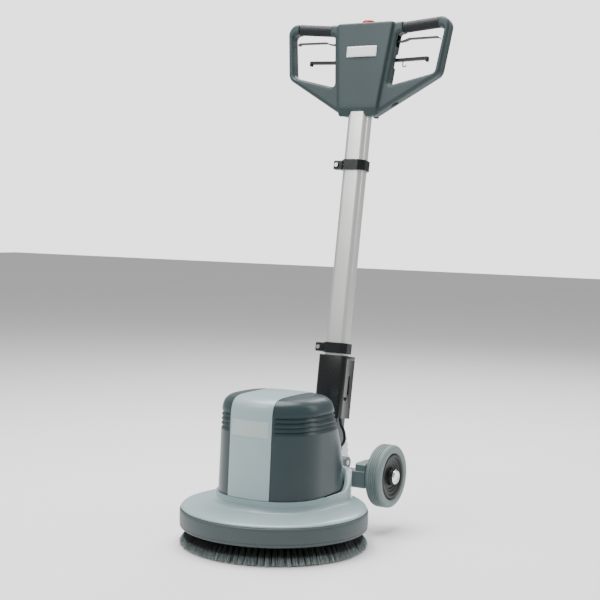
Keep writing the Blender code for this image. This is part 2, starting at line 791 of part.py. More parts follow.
def axle_cap(side):
    start = side * (CAP_X + GAP)
    end = start + side * CAP_THICKNESS
    cap = rod(CAP_R, (start, AXLE_Y, AXLE_Z), (end, AXLE_Y, AXLE_Z), SMALL, CAP_R - 0.003)
    bore = rod(AXLE_R + GAP, (start - side * 0.01, AXLE_Y, AXLE_Z), (start + side * 0.003, AXLE_Y, AXLE_Z))
    return cut(cap, bore)


def hinge_bracket():
    arm_outer = WHEEL_INNER_X - 0.004
    beam_rear = BEAM_FRONT + BEAM_DEPTH
    beam_bottom = BRACKET_FOOT_Z + 0.003
    proud = 0.0006
    beam_end = arm_outer - 0.002
    shape = box((-beam_end, BEAM_FRONT, beam_bottom), (beam_end, beam_rear, BEAM_TOP), 0.004)
    foot_front, foot_rear = BEAM_FRONT - 0.001, beam_rear - 0.002
    foot = box((-BRACKET_FOOT_HALF, foot_front, BRACKET_FOOT_Z),
               (BRACKET_FOOT_HALF, foot_rear, beam_bottom + 0.0025))
    shape = joined(shape, foot)
    for side in (-1, 1):
        low, high = sorted((side * ARM_INNER, side * (arm_outer - proud)))
        arm = box((low, BEAM_FRONT + 0.001, AXLE_Z - ARM_NOSE_R + 0.0012), (high, AXLE_Y, ARM_TOP), 0.004)
        low, high = sorted((side * (ARM_INNER + proud), side * (arm_outer - 2 * proud)))
        top = box((low, AXLE_Y - 0.010, AXLE_Z), (high, AXLE_Y + 0.020, ARM_TOP - 0.0005), 0.004)
        low, high = sorted((side * (ARM_INNER - proud), side * arm_outer))
        nose = rod(ARM_NOSE_R, (low, AXLE_Y, AXLE_Z), (high, AXLE_Y, AXLE_Z), FINE)
        low, high = sorted((side * (CHEEK_INNER + proud), side * (CHEEK_OUTER - proud)))
        cheek_top = PIVOT_Z + BOSS_R - 0.002
        cheek = box((low, BEAM_FRONT + 0.0012, beam_bottom + 0.006), (high, PIVOT_Y, cheek_top), 0.002)
        low, high = sorted((side * CHEEK_INNER, side * CHEEK_OUTER))
        boss = rod(BOSS_R, (low, PIVOT_Y, PIVOT_Z), (high, PIVOT_Y, PIVOT_Z), SMALL)
        shape = joined(shape, arm, top, nose, cheek, boss)
    half = CHEEK_INNER - GAP
    notch = box((-half, 0.0, NOTCH_FLOOR), (half, FAR, FAR))
    shape = cut(shape, notch)
    for y, z, radius in ((AXLE_Y, AXLE_Z, AXLE_R + GAP), (PIVOT_Y, PIVOT_Z, PIVOT_R + GAP)):
        shape = cut(shape, rod(radius, (-FAR, y, z), (FAR, y, z), SMALL))
    return shape


def tilt_sector():
    """A notched quadrant about the tilt pivot, standing on the bracket's beam."""
    points = []
    first, last = math.radians(SECTOR_ARC[0]), math.radians(SECTOR_ARC[1])
    for k in range(SECTOR_NOTCHES):
        for share, depth in ((0.0, 0.0), (0.5, 0.0), (0.62, 0.005), (0.88, 0.005)):
            a = first + (last - first) * (k + share) / SECTOR_NOTCHES
            radius = SECTOR_R - depth
            points.append((radius * math.sin(a), radius * math.cos(a)))
    foot = NOTCH_FLOOR + GAP - PIVOT_Z
    points += [(SECTOR_R * math.sin(last), SECTOR_R * math.cos(last)), (SECTOR_R - 0.008, -0.022)]
    points += [(0.045, -0.010), (0.012, -0.0095), (-0.004, -0.014), (-0.0165, foot), (-0.032, foot)]
    points += [(-0.032, -0.020)]
    points += [(-0.016, 0.004), (-0.024, 0.060)]
    hole = circle(PIVOT_R + GAP, SMALL)
    shape = extruded([points, hole], 2 * SECTOR_HALF)
    turn = Matrix(((0, 0, 1, -SECTOR_HALF), (1, 0, 0, PIVOT_Y), (0, 1, 0, PIVOT_Z), (0, 0, 0, 1)))
    shape.data.transform(turn)
    return shape


# ---------------------------------------------------------------- handle
def tube_plan(grow):
    return rounded_rectangle(TUBE_WIDTH / 2 + grow, TUBE_DEPTH / 2 + grow, TUBE_CORNER + grow)


def handle_tube():
    shape = extruded([tube_plan(0.0), tube_plan(-TUBE_WALL)], TUBE_TOP - TUBE_BOTTOM)
    return moved(shape, (0, 0, TUBE_BOTTOM))


def hinge_fork():
    """Two plates on the pivot, a bridge above them and a plug up inside the tube."""
    inner = SECTOR_HALF + FORK_PLATE_CLEAR
    under = SECTOR_R + 0.0025
    shape = moved(extruded([tube_plan(-TUBE_WALL - GAP)], 0.062), (0, 0, FORK_REACH - 0.002))
    bridge = box((-FORK_HALF, -0.0215, under), (FORK_HALF, 0.0300, FORK_REACH), 0.002)
    shape = joined(shape, bridge)
    outline = [
        (-0.0165, 0.0), (0.0165, 0.0), (0.0165, 0.012), (0.0300, 0.027), (0.0290, under + 0.003),
        (-0.0190, under + 0.003), (-0.0190, 0.010),
    ]
    for side in (-1, 1):
        low, high = sorted((side * inner, side * (FORK_HALF - GAP)))
        plate = extruded([outline], high - low)
        plate.data.transform(Matrix(((0, 0, 1, low), (1, 0, 0, 0), (0, 1, 0, 0), (0, 0, 0, 1))))
        eye = rod(0.0170, (low - GAP, 0, 0), (high + GAP, 0, 0), SMALL)
        shape = joined(shape, plate, eye)
    shape = cut(shape, rod(PIVOT_R + RUN, (-FAR, 0, 0), (FAR, 0, 0), SMALL))
    return cut(shape, rod(LATCH_R + RUN, (0, 0, PIVOT_R), (0, 0, FAR), SMALL))


def hinge_box():
    plan = [(x, y + (BOX_REAR - BOX_FRONT) / 2) for x, y in
            rounded_rectangle(BOX_HALF, (BOX_FRONT + BOX_REAR) / 2, BOX_CORNER)]
    shape = moved(extruded([plan], BOX_TOP - BOX_BOTTOM), (0, 0, BOX_BOTTOM))
    well = moved(extruded([tube_plan(GAP)], BOX_TOP), (0, 0, TUBE_BOTTOM - 0.002))
    mouth = box((-FORK_HALF - GAP, -0.0225, 0.05), (FORK_HALF + GAP, 0.0310, TUBE_BOTTOM + 0.001))
    lead_way = rod(LEAD_R + 2 * RUN, (LEAD_X, LEAD_D, 0.05), (LEAD_X, LEAD_D, TUBE_BOTTOM - 0.002), 12)
    return cut(shape, well, mouth, lead_way)


def clamp(where):
    """A split collar round the tube, its two ears out on the left."""
    low = CLAMP_PLACES[where]
    half_x = TUBE_WIDTH / 2 + CLAMP_WALL
    half_y = TUBE_DEPTH / 2 + CLAMP_WALL
    facet = CLAMP_FACET
    plan = [
        (half_x, half_y - facet), (half_x - facet, half_y),
        (-half_x + facet, half_y), (-half_x, half_y - facet),
        (-half_x, -half_y + facet), (-half_x + facet, -half_y),
        (half_x - facet, -half_y), (half_x, -half_y + facet),
    ]
    shape = moved(extruded([plan], CLAMP_HEIGHT), (0, 0, low))
    ear_front, ear_rear = CLAMP_SPLIT[0] - 0.0055, CLAMP_SPLIT[1] + 0.0055
    ears = box((-half_x - CLAMP_EAR, ear_front, low + 0.002),
               (-half_x + 0.004, ear_rear, low + CLAMP_HEIGHT - 0.001), 0.002)
    shape = joined(shape, ears)
    bore = moved(extruded([tube_plan(GAP)], 0.1), (0, 0, low - 0.03))
    split = box((-FAR, CLAMP_SPLIT[0], low - 0.01), (-0.01, CLAMP_SPLIT[1], low + 0.05))
    x, z = clamp_screw_place(low)
    hole = rod(CLAMP_SCREW_R + 0.0004, (x, -FAR, z), (x, FAR, z), SMALL)
    return cut(shape, bore, split, hole)


def clamp_screw_place(low):
    return -TUBE_WIDTH / 2 - CLAMP_WALL - CLAMP_SCREW_OUT, low + CLAMP_HEIGHT / 2


def clamp_screw(where):
    x, z = clamp_screw_place(CLAMP_PLACES[where])
    front = CLAMP_SPLIT[0] - 0.0055 - GAP
    rear = CLAMP_SPLIT[1] + 0.0055 + GAP
    shape = rod(CLAMP_SCREW_R, (x, front - 0.001, z), (x, rear + 0.002, z), 12)
    head = rod(0.0050, (x, front - 0.004, z), (x, front, z), SMALL)
    nut = rod(0.0045, (x, rear, z), (x, rear + 0.0037, z), 6)
    return joined(shape, head, nut)


# ---------------------------------------------------------------- control head
LOOP_OUTER = [
    (0.083, HEAD_TOP + 0.0002), (0.2030, HEAD_TOP + 0.0086), (0.2160, HEAD_TOP + 0.0066),
    (0.2265, HEAD_TOP - 0.0035), (0.2295, HEAD_TOP - 0.0180),
    (0.2145, HEAD_BOTTOM + 0.1110), (0.2010, HEAD_BOTTOM + 0.0940), (0.1660, HEAD_BOTTOM + 0.0735),
    (0.1130, HEAD_BOTTOM + 0.0450), (0.0380, HEAD_BOTTOM + 0.0020),
]
LOOP_HOLE = [
    (0.0890, HEAD_TOP - 0.0280), (0.2050, HEAD_TOP - 0.0185), (0.2115, HEAD_TOP - 0.0250),
    (0.1985, HEAD_BOTTOM + 0.1150), (0.1870, HEAD_BOTTOM + 0.1030), (0.0830, HEAD_BOTTOM + 0.0780),
    (0.0740, HEAD_BOTTOM + 0.0840), (0.0850, HEAD_TOP - 0.0675),
]


def head_outline():
    right = [(PANEL_TOP_HALF - 0.004, HEAD_TOP)] + LOOP_OUTER
    return right + [(-x, z) for x, z in right[::-1]]


def standing(shape, front):
    """Stand a flat shape up so its own Z runs rearward from y = front."""
    turn = Matrix(((1, 0, 0, 0), (0, 0, 1, front), (0, 1, 0, 0), (0, 0, 0, 1)))
    shape.data.transform(turn)
    bm = bmesh.new()
    bm.from_mesh(shape.data)
    bmesh.ops.recalc_face_normals(bm, faces=bm.faces)
    bm.to_mesh(shape.data)
    bm.free()
    return shape


def panel_plan(inset):
    top, foot = HEAD_TOP - inset, HEAD_BOTTOM + inset
    wide, narrow = PANEL_TOP_HALF - inset, PANEL_FOOT_HALF - inset
    right = [(narrow - 0.013, foot), (narrow, foot + 0.022), (wide, top - 0.008), (wide - 0.007, top)]
    return right + [(-x, z) for x, z in right[::-1]]


def head_belly():
    """What is cut off the panel's foot: a slope in front and an upward slope behind."""
    rear = [(-0.0230, 0.0), (0.0600, 0.0270), (0.0600, -0.0300), (-0.0230, -0.0300)]
    front = [(-0.0235, -0.0010), (-0.0330, -0.0010), (-0.0330, 0.0290), (-HEAD_FRONT, 0.0180)]
    cutters = []
    for outline in (rear, front):
        wedge = extruded([[(d, HEAD_BOTTOM + t) for d, t in outline]], 0.3)
        wedge.data.transform(Matrix(((0, 0, 1, -0.15), (1, 0, 0, 0), (0, 1, 0, 0), (0, 0, 0, 1))))
        cutters.append(wedge)
    return cutters


def along_grip(shape, side):
    """Turn a shape that stands on Z, from GRIP_INNER_X up, onto the grip's rising axis."""
    turn = Matrix.Rotation(-side * GRIP_RISE, 4, "Y") @ Matrix.Rotation(side * math.pi / 2, 4, "Y")
    return moved(shape, (0, 0, GRIP_Z - GRIP_INNER_X * math.sin(GRIP_RISE)), turn)


def head_shell(half):
    """half -1 is the front shell, +1 the rear one; they meet on the tube's axis."""
    holes = [LOOP_HOLE, [(-x, z) for x, z in LOOP_HOLE]]
    loops = standing(extruded([head_outline()] + holes, 2 * LOOP_HALF, LOOP_CHAMFER), -LOOP_HALF)
    panel = standing(extruded([panel_plan(0.0)], HEAD_FRONT + HEAD_REAR), -HEAD_FRONT)
    shape = joined(loops, panel)
    middle = (HEAD_TOP + HEAD_BOTTOM) / 2
    cavity_plan = [(x, z + (0.060 if z < middle else 0.0)) for x, z in panel_plan(HEAD_WALL)]
    depth = HEAD_FRONT + HEAD_REAR - 2 * HEAD_WALL
    cavity = standing(extruded([cavity_plan], depth), -HEAD_FRONT + HEAD_WALL)
    well = moved(extruded([tube_plan(GAP)], 0.15), (0, 0, HEAD_BOTTOM - 0.05))
    button = rod(BUTTON_R + RUN, (0, 0, HEAD_TOP - 0.02), (0, 0, HEAD_TOP + 0.02))
    shape = cut(shape, cavity, well, button, *head_belly())
    for side in (-1, 1):
        sleeve = ring(GRIP_BAR_R, 2 * GRIP_R, GRIP_INNER_X, GRIP_OUTER_X, SMALL)
        shape = cut(shape, along_grip(sleeve, side))
        low, high = sorted((side * 0.045, side * 0.0905))
        upper = box((low, -0.0075, SWITCH_LEVER_Z - 0.0135), (high, 0.0075, SWITCH_LEVER_Z + 0.0165))
        front, rear = LOWER_LEVER_FRONT - 0.002, LOWER_LEVER_REAR + 0.0015
        lower = box((low, front, LOWER_LEVER_Z - 0.0165), (high, rear, LOWER_LEVER_Z + 0.0200))
        shape = cut(shape, upper, lower)
    low, high = (-FAR, -GAP / 2) if half < 0 else (GAP / 2, FAR)
    shape = kept(shape, box((-FAR, low, 0.0), (FAR, high, HEAD_TOP + FAR)))
    if half < 0:
        return shape
    back = HEAD_REAR - HEAD_WALL / 2
    pins = [rod(LEVER_PIN_R, (x, d, z), (x, back, z), SMALL) for x, d, z in lever_pins()]
    return joined(shape, *pins)


def lever_pins():
    """Where each lever's pin ends, in front of the lever it carries."""
    switch = [(side * SWITCH_PIVOT_X, -0.0090, SWITCH_LEVER_Z - 0.004) for side in (-1, 1)]
    lower = [(x, LOWER_LEVER_FRONT - 0.0030, LOWER_LEVER_Z) for x in (TILT_PIVOT_X, SOLUTION_PIVOT_X)]
    return switch + lower


def grip(side):
    length = (GRIP_OUTER_X - GRIP_INNER_X) - 2 * GAP
    bore = GRIP_BAR_R + GAP
    shape = turned([
        (GRIP_R - 0.0015, length), (GRIP_R, length - 0.002), (GRIP_R, 0.002), (GRIP_R - 0.0015, 0.0),
        (bore, 0.0), (bore, length),
    ], SMALL)
    return along_grip(moved(shape, (0, 0, GRIP_INNER_X + GAP)), side)


def bar_outline(points, half):
    """A bent strip of even width about a centre line."""
    upper, lower = [], []
    for i, (x, z) in enumerate(points):
        ax, az = points[max(i - 1, 0)]
        bx, bz = points[min(i + 1, len(points) - 1)]
        length = math.hypot(bx - ax, bz - az)
        nx, nz = -(bz - az) / length, (bx - ax) / length
        upper.append((x + half * nx, z + half * nz))
        lower.append((x - half * nx, z - half * nz))
    return upper + lower[::-1]


def lever(side, line, half, front, rear, pivot):
    """A flat lever from its eye on the pivot pin out along a centre line."""
    strip = standing(extruded([bar_outline(line, half)], rear - front), front)
    x, z = pivot
    eye = rod(LEVER_EYE_R, (x, front - 0.0004, z), (x, rear + 0.0004, z), SMALL)
    shape = joined(strip, eye)
    shape = cut(shape, rod(LEVER_PIN_R + RUN, (x, -FAR, z), (x, FAR, z), SMALL))
    if side < 0:
        shape.data.transform(Matrix.Scale(-1, 4, (1, 0, 0)))
        shape.data.flip_normals()
    return shape


def switch_lever(side):
    z = SWITCH_LEVER_Z
    line = [
        (SWITCH_PIVOT_X, z - 0.004), (0.0960, z - 0.004), (0.1060, z - 0.002), (0.1160, z + 0.002),
        (0.1920, z + 0.003), (0.1985, z - 0.001),
    ]
    return lever(side, line, 0.0013, -0.0060, 0.0060, (SWITCH_PIVOT_X, z - 0.004))


def lower_lever(side, pivot_x):
    """A bar behind the latch rod, out through its window, with a thumb pad at its end."""
    z = LOWER_LEVER_Z
    line = [(pivot_x, z), (0.1000, z + 0.001), (0.1620, z + 0.003)]
    shape = lever(side, line, 0.0035, LOWER_LEVER_FRONT, LOWER_LEVER_REAR, (pivot_x, z))
    low, high = sorted((side * 0.1590, side * 0.1660))
    front, rear = LOWER_LEVER_FRONT - 0.0004, LOWER_LEVER_REAR + 0.0004
    pad = box((low, front, z - 0.0060), (high, rear, z + 0.0070), 0.0015)
    return joined(shape, pad)


def solution_lever():
    """The right lower lever, with the hook for a tank's pull wire under it."""
    z = LOWER_LEVER_Z
    middle = (LOWER_LEVER_FRONT + LOWER_LEVER_REAR) / 2
    hook = [(0.0975, middle, z), (0.0975, middle, z - 0.010)]
    for i in range(7):
        a = math.pi * (1 + i / 6)
        hook.append((0.1020 + 0.0045 * math.cos(a), middle, z - 0.012 + 0.0045 * math.sin(a)))
    return joined(lower_lever(1, SOLUTION_PIVOT_X), wire(hook, 0.0014))


def tilt_lever():
    """The left lower lever; its pivot lies past the rod, so squeezing it lifts the rod."""
    return lower_lever(-1, -TILT_PIVOT_X)


def latch_rod():
    """The rod that holds the tilt: its cross pin lies on the tilt lever."""
    top = LOWER_LEVER_Z + 0.012
    shape = rod(LATCH_R, (0, 0, SECTOR_R + LATCH_CLEAR), (0, 0, top), SMALL)
    z = LOWER_LEVER_Z + 0.0035 + 0.0006 + 0.0022
    return joined(shape, rod(0.0022, (0, 0, z), (0, LOWER_LEVER_REAR + 0.001, z), 12))


def safety_button():
    cap = rod(BUTTON_R, (0, 0, HEAD_TOP - BUTTON_DEPTH), (0, 0, HEAD_TOP + 0.0055))
    crown = rod(BUTTON_R, (0, 0, HEAD_TOP + 0.0050), (0, 0, HEAD_TOP + 0.0085), SMALL, BUTTON_R - 0.004)
    return joined(cap, crown)


def cord_gland():
    """The rounded boss under the head's right corner that the mains cord would enter."""
    x, d = INLET_PLACE
    shape = rod(INLET_R, (x, d, HEAD_BOTTOM + 0.0050), (x, d, HEAD_BOTTOM + 0.0110), SMALL)
    return cut(shape, rod(INLET_BORE_R, (x, d, 0.0), (x, d, HEAD_BOTTOM + 0.0095), SMALL))


# ---------------------------------------------------------------- the motor's lead
def motor_lead():
    """From inside the hinge box down past the fork to the gland on the cover."""
    top = handle_to_machine((LEAD_X, LEAD_D, BOX_BOTTOM + 0.012))
    exit_point = handle_to_machine((LEAD_X, LEAD_D, BOX_BOTTOM))
    route = [
        top, exit_point, (LEAD_X + 0.0020, 0.2480, 0.2440), (LEAD_X + 0.0045, 0.2580, 0.2270),
        (LEAD_X + 0.0050, 0.2620, 0.2090), (LEAD_X + 0.0045, 0.2540, 0.1960),
        (LEAD_X + 0.0020, 0.2350, 0.1895), (LEAD_X, 0.2100, GLAND_Z), (LEAD_X, gland_seat() + GLAND_LENGTH + 0.0005, GLAND_Z),
    ]
    return wire(smooth_route(route, 26), LEAD_R)


def handle_to_machine(point):
    x, y, z = point
    return (
        x,
        PIVOT_Y + y * math.cos(LEAN) + z * math.sin(LEAN),
        PIVOT_Z - y * math.sin(LEAN) + z * math.cos(LEAN),
    )


def smooth_route(points, count):
    """Read evenly spread points from a Catmull-Rom curve through the route."""
    path = [Vector(p) for p in points]
    path = [2 * path[0] - path[1]] + path + [2 * path[-1] - path[-2]]
    result = []
    spans = len(path) - 3
    for i in range(count):
        u = spans * i / (count - 1)
        k = min(int(u), spans - 1)
        t = u - k
        a, b, c, d = path[k:k + 4]
        result.append(0.5 * ((2 * b) + (c - a) * t + (2 * a - 5 * b + 4 * c - d) * t ** 2
                             + (3 * b - a - 3 * c + d) * t ** 3))
    return result


def gland_seat():
    """Where the cover's sloping back is at the gland's height."""
    half_way = 0.5 * (COVER_BOTTOM + COVER_TOP - SHOULDER)
    share = (GLAND_Z - COVER_BOTTOM) / (half_way - COVER_BOTTOM)
    return COVER_REAR * (1.0 - (1.0 - COVER_WAIST) * share) + STRIPE_PROUD + GAP


def lead_gland():
    foot = gland_seat() + 0.0030     # the sloping face falls away below the gland
    end = gland_seat() + GLAND_LENGTH
    return rod(GLAND_R, (LEAD_X, foot, GLAND_Z), (LEAD_X, end, GLAND_Z), SMALL)


# ---------------------------------------------------------------- build every piece
def build_chassis():
    piece("deck_housing", deck_housing(), deck_grey, machine)
    piece("bumper_ring", bumper_ring(), soft_grey, machine)
    piece("gearbox_housing", gearbox_housing(), cast_metal, machine)
    piece("ring_gear", ring_gear(), steel, machine)
    bearing_low = GEARBOX_BOTTOM + GEARBOX_FLOOR + GAP
    bearing = ring(HUB_R + GAP, BEARING_OUTER, bearing_low, BEARING_TOP, INSIDE)
    piece("output_bearing", bearing, steel, machine)
    piece("motor_housing", motor_housing(), cast_metal, machine)
    stator_inner = ROTOR_R + AIR_GAP
    stator = ring(stator_inner, MOTOR_R - MOTOR_WALL - GAP, STATOR_Z, STATOR_Z + STATOR_LENGTH, INSIDE)
    piece("stator_core", stator, material("copper_windings", (0.55, 0.25, 0.12), 0.5, 0.6), machine)
    piece("motor_end_bell", motor_end_bell(), cast_metal, machine)
    low = MOTOR_FLOOR + GAP
    lower = ring(SHAFT_R + GAP, LOWER_BEARING_R, low, MOTOR_FLOOR + SEAT_DEPTH, INSIDE)
    piece("lower_motor_bearing", lower, steel, machine)
    low = MOTOR_TOP - 0.004
    upper = ring(SHAFT_R + GAP, UPPER_BEARING_R, low, low + UPPER_BEARING_HEIGHT, INSIDE)
    piece("upper_motor_bearing", upper, steel, machine)
    for name, x in (("start_capacitor", -CAPACITOR_X), ("run_capacitor", CAPACITOR_X)):
        y = MOTOR_R + MOTOR_FLANGE + CAPACITOR_R + CAPACITOR_CLEAR
        base = DECK_FLOOR_Z + GAP
        can = rod(CAPACITOR_R, (x, y, base), (x, y, base + CAPACITOR_LENGTH), SMALL)
        piece(name, can, material(name, (0.5, 0.5, 0.52), 0.4, 0.3), machine)
    piece("motor_cover_left", cover_part(-1), cover_green, machine)
    piece("motor_cover_right", cover_part(1), cover_green, machine)
    piece("motor_cover_centre", cover_part(0), deck_grey, machine)
    piece("cover_badge_plate", cover_badge(), material("label_grey", (0.6, 0.62, 0.58), 0.4), machine)
    piece("hinge_bracket", hinge_bracket(), deck_grey, machine)
    end = CAP_X + 0.0025
    piece("wheel_axle", rod(AXLE_R, (-end, AXLE_Y, AXLE_Z), (end, AXLE_Y, AXLE_Z)), steel, machine)
    shaft = rod(PIVOT_R, (-CHEEK_OUTER, PIVOT_Y, PIVOT_Z), (CHEEK_OUTER, PIVOT_Y, PIVOT_Z))
    piece("hinge_shaft", shaft, steel, machine)
    piece("tilt_sector", tilt_sector(), steel, machine)


def build_brush():
    piece("brush_bristles", brush_bristles(), black_plastic, brush_body)
    block = ring(BLOCK_BORE_R, BRUSH_ROOT_R, BLOCK_BOTTOM, BLOCK_TOP, ROUND)
    piece("brush_block", block, black_plastic, brush_body)
    piece("brush_socket", brush_socket(), black_plastic, brush_body)
    piece("drive_plate", drive_plate(), black_plastic, brush_body)
    piece("planet_carrier", planet_carrier(), steel, brush_body)
    for k in range(PLANETS):
        turn = 2 * math.pi * k / PLANETS
        place = (PLANET_CIRCLE * math.cos(turn), PLANET_CIRCLE * math.sin(turn), 0.0)
        axis = frame(f"planet_axis_{k + 1}", place, parent=brush_body)
        gear = moved(planet_gear(turn), [-c for c in place])
        piece(f"planet_gear_{k + 1}", gear, steel, axis)


def build_rotor():
    piece("rotor_shaft", rotor_shaft(), steel, rotor_body)
    piece("sun_gear", sun_gear(), steel, rotor_body)
    core = ring(SHAFT_R + GAP, ROTOR_R, STATOR_Z, STATOR_Z + STATOR_LENGTH, INSIDE)
    piece("rotor_core", core, cast_metal, rotor_body)
    piece("cooling_fan", cooling_fan(), black_plastic, rotor_body)


def build_wheels():
    rubber = material("tyre_rubber", (0.28, 0.35, 0.34), 0.7)
    for side, word in ((-1, "left"), (1, "right")):
        axis = frame(f"wheel_axis_{word}", (0.0, AXLE_Y, AXLE_Z), parent=machine)
        back = (0.0, -AXLE_Y, -AXLE_Z)
        piece(f"tyre_{word}", moved(tyre(side), back), rubber, axis)
        piece(f"wheel_rim_{word}", moved(wheel_rim(side), back), black_plastic, axis)
        piece(f"axle_cap_{word}", axle_cap(side), steel, machine)


def build_handle():
    piece("hinge_fork", hinge_fork(), cover_green, handle)
    piece("hinge_box", hinge_box(), black_plastic, handle)
    piece("handle_tube", handle_tube(), aluminium, handle)
    for where in CLAMP_PLACES:
        piece(f"tube_clamp_{where}", clamp(where), black_plastic, handle)
        piece(f"clamp_screw_{where}", clamp_screw(where), steel, handle)
    piece("head_front_shell", head_shell(-1), cover_green, handle)
    piece("head_rear_shell", head_shell(1), cover_green, handle)
    piece("head_badge_plate", head_badge(), material("label_white", (0.85, 0.85, 0.85), 0.4), handle)
    for side, word in ((-1, "left"), (1, "right")):
        piece(f"grip_{word}", grip(side), black_plastic, handle)
        z = SWITCH_LEVER_Z - 0.004
        axis = frame(f"switch_axis_{word}", (side * SWITCH_PIVOT_X, 0.0, z), parent=handle)
        shape = moved(switch_lever(side), (-side * SWITCH_PIVOT_X, 0.0, -z))
        piece(f"switch_lever_{word}", shape, black_plastic, axis)
    tilt_axis = frame("tilt_lever_axis", (TILT_PIVOT_X, 0.0, LOWER_LEVER_Z), parent=handle)
    piece("tilt_lever", moved(tilt_lever(), (-TILT_PIVOT_X, 0.0, -LOWER_LEVER_Z)), black_plastic, tilt_axis)
    solution_axis = frame("solution_lever_axis", (SOLUTION_PIVOT_X, 0.0, LOWER_LEVER_Z), parent=handle)
    shape = moved(solution_lever(), (-SOLUTION_PIVOT_X, 0.0, -LOWER_LEVER_Z))
    piece("solution_lever", shape, black_plastic, solution_axis)
    piece("latch_rod", latch_rod(), steel, handle)
    piece("safety_button", safety_button(), material("signal_red", (0.75, 0.05, 0.03), 0.35), handle)
    piece("cord_gland", cord_gland(), black_plastic, handle)
    unit_top = HEAD_TOP - BUTTON_DEPTH - BUTTON_TRAVEL - 0.0010
    unit = box((-0.024, -0.012, unit_top - 0.028), (0.024, 0.012, unit_top), 0.002)
    piece("switch_unit", unit, material("switch_grey", (0.2, 0.2, 0.21), 0.5), handle)


build_chassis()
build_brush()
build_rotor()
build_wheels()
build_handle()
piece("lead_gland", lead_gland(), black_plastic, machine)
piece("motor_lead", motor_lead(), black_plastic, machine)
bpy.context.view_layer.update()
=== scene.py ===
# %% [markdown]
# # A rotary floor machine, built around its working frame
# The machine scrubs and polishes hard floors with one big round brush. Its working parts
# (gears, joints, housings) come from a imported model, and this lesson gives them their
# looks: moulded plastics, brushed tube, rubber, cast metal and thousands of nylon strands.
# Each step says what the real piece is, then makes it.

# %% Load the frame
import json
import math

import bmesh
import bpy
from mathutils import Matrix, Vector


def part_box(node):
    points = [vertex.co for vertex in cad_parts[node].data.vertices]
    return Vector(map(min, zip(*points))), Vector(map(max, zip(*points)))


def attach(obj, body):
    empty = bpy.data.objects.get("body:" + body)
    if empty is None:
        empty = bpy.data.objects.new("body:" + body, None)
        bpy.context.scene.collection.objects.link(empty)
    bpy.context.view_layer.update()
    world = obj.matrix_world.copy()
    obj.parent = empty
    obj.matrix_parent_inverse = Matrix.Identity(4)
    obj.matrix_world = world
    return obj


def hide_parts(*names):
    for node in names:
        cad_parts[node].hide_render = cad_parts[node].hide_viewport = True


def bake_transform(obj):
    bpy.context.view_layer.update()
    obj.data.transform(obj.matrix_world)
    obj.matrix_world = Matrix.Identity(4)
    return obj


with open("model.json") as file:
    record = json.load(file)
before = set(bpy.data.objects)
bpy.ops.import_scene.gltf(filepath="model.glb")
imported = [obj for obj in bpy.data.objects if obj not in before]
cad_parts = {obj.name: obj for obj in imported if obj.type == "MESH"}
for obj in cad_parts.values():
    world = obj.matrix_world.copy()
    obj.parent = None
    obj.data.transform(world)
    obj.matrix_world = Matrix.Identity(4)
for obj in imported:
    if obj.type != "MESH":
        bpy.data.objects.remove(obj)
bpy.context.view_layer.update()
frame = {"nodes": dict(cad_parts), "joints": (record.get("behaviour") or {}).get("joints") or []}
nodes = frame["nodes"]
joints = {joint["name"]: joint for joint in frame["joints"]}

# %% [markdown]
# The machine has two natural places to measure from. The base is round about the brush's
# spindle, and everything on the handle follows the line of its leaning tube. Both come
# from the joints, so a piece written in either frame lands where the model has it.

# %% Two frames to measure in
spindle = Vector(joints["brush_spin"]["pos_m"])
pivot = Vector(joints["handle_tilt"]["pos_m"])
along = Vector(joints["latch_lift"]["axis"]).normalized()
rearward = Vector((0.0, along.z, -along.y))
BASE = Matrix.Translation(spindle)
HANDLE = Matrix.Translation(pivot) @ Matrix((
    (1, 0, 0, 0), (0, rearward.y, along.y, 0), (0, rearward.z, along.z, 0), (0, 0, 0, 1)))
HANDLE_INVERSE = HANDLE.inverted()
lean = math.degrees(math.atan2(along.y, along.z))
print("handle leans back", round(lean, 2), "degrees")


def handle_box(name):
    """A node's lowest and highest corners, measured along the handle."""
    points = [HANDLE_INVERSE @ vertex.co for vertex in nodes[name].data.vertices]
    low = Vector(min(point[axis] for point in points) for axis in range(3))
    high = Vector(max(point[axis] for point in points) for axis in range(3))
    return low, high


# %% [markdown]
# ## Writing materials as sums
# A real surface is never one flat colour. Its finish is easiest to read as a sum, such as
# `0.4 + 0.1 * grain`, so a small class wraps a socket and turns the operators into Math
# nodes. `Finish` holds the material and makes every other node from one method.

# %% Shader arithmetic
class Value:
    """What comes out of one socket, ready for arithmetic."""

    def __init__(self, finish, socket):
        self.finish = finish
        self.socket = socket

    def math(self, operation, first, second=0.0, clamp=False):
        settings = {"operation": operation, "use_clamp": clamp}
        return self.finish.node("ShaderNodeMath", settings, {0: first, 1: second})

    def __add__(self, other):
        return self.math("ADD", self, other)

    def __radd__(self, other):
        return self.math("ADD", other, self)

    def __sub__(self, other):
        return self.math("SUBTRACT", self, other)

    def __rsub__(self, other):
        return self.math("SUBTRACT", other, self)

    def __mul__(self, other):
        return self.math("MULTIPLY", self, other)

    def __rmul__(self, other):
        return self.math("MULTIPLY", other, self)

    def between(self, low, high):
        """0 below low, 1 above high, and a straight ramp from one to the other."""
        return self.finish.node("ShaderNodeMapRange", {}, {0: self, 1: low, 2: high, 3: 0.0, 4: 1.0})


COAT_ROUGHNESS = 0.12


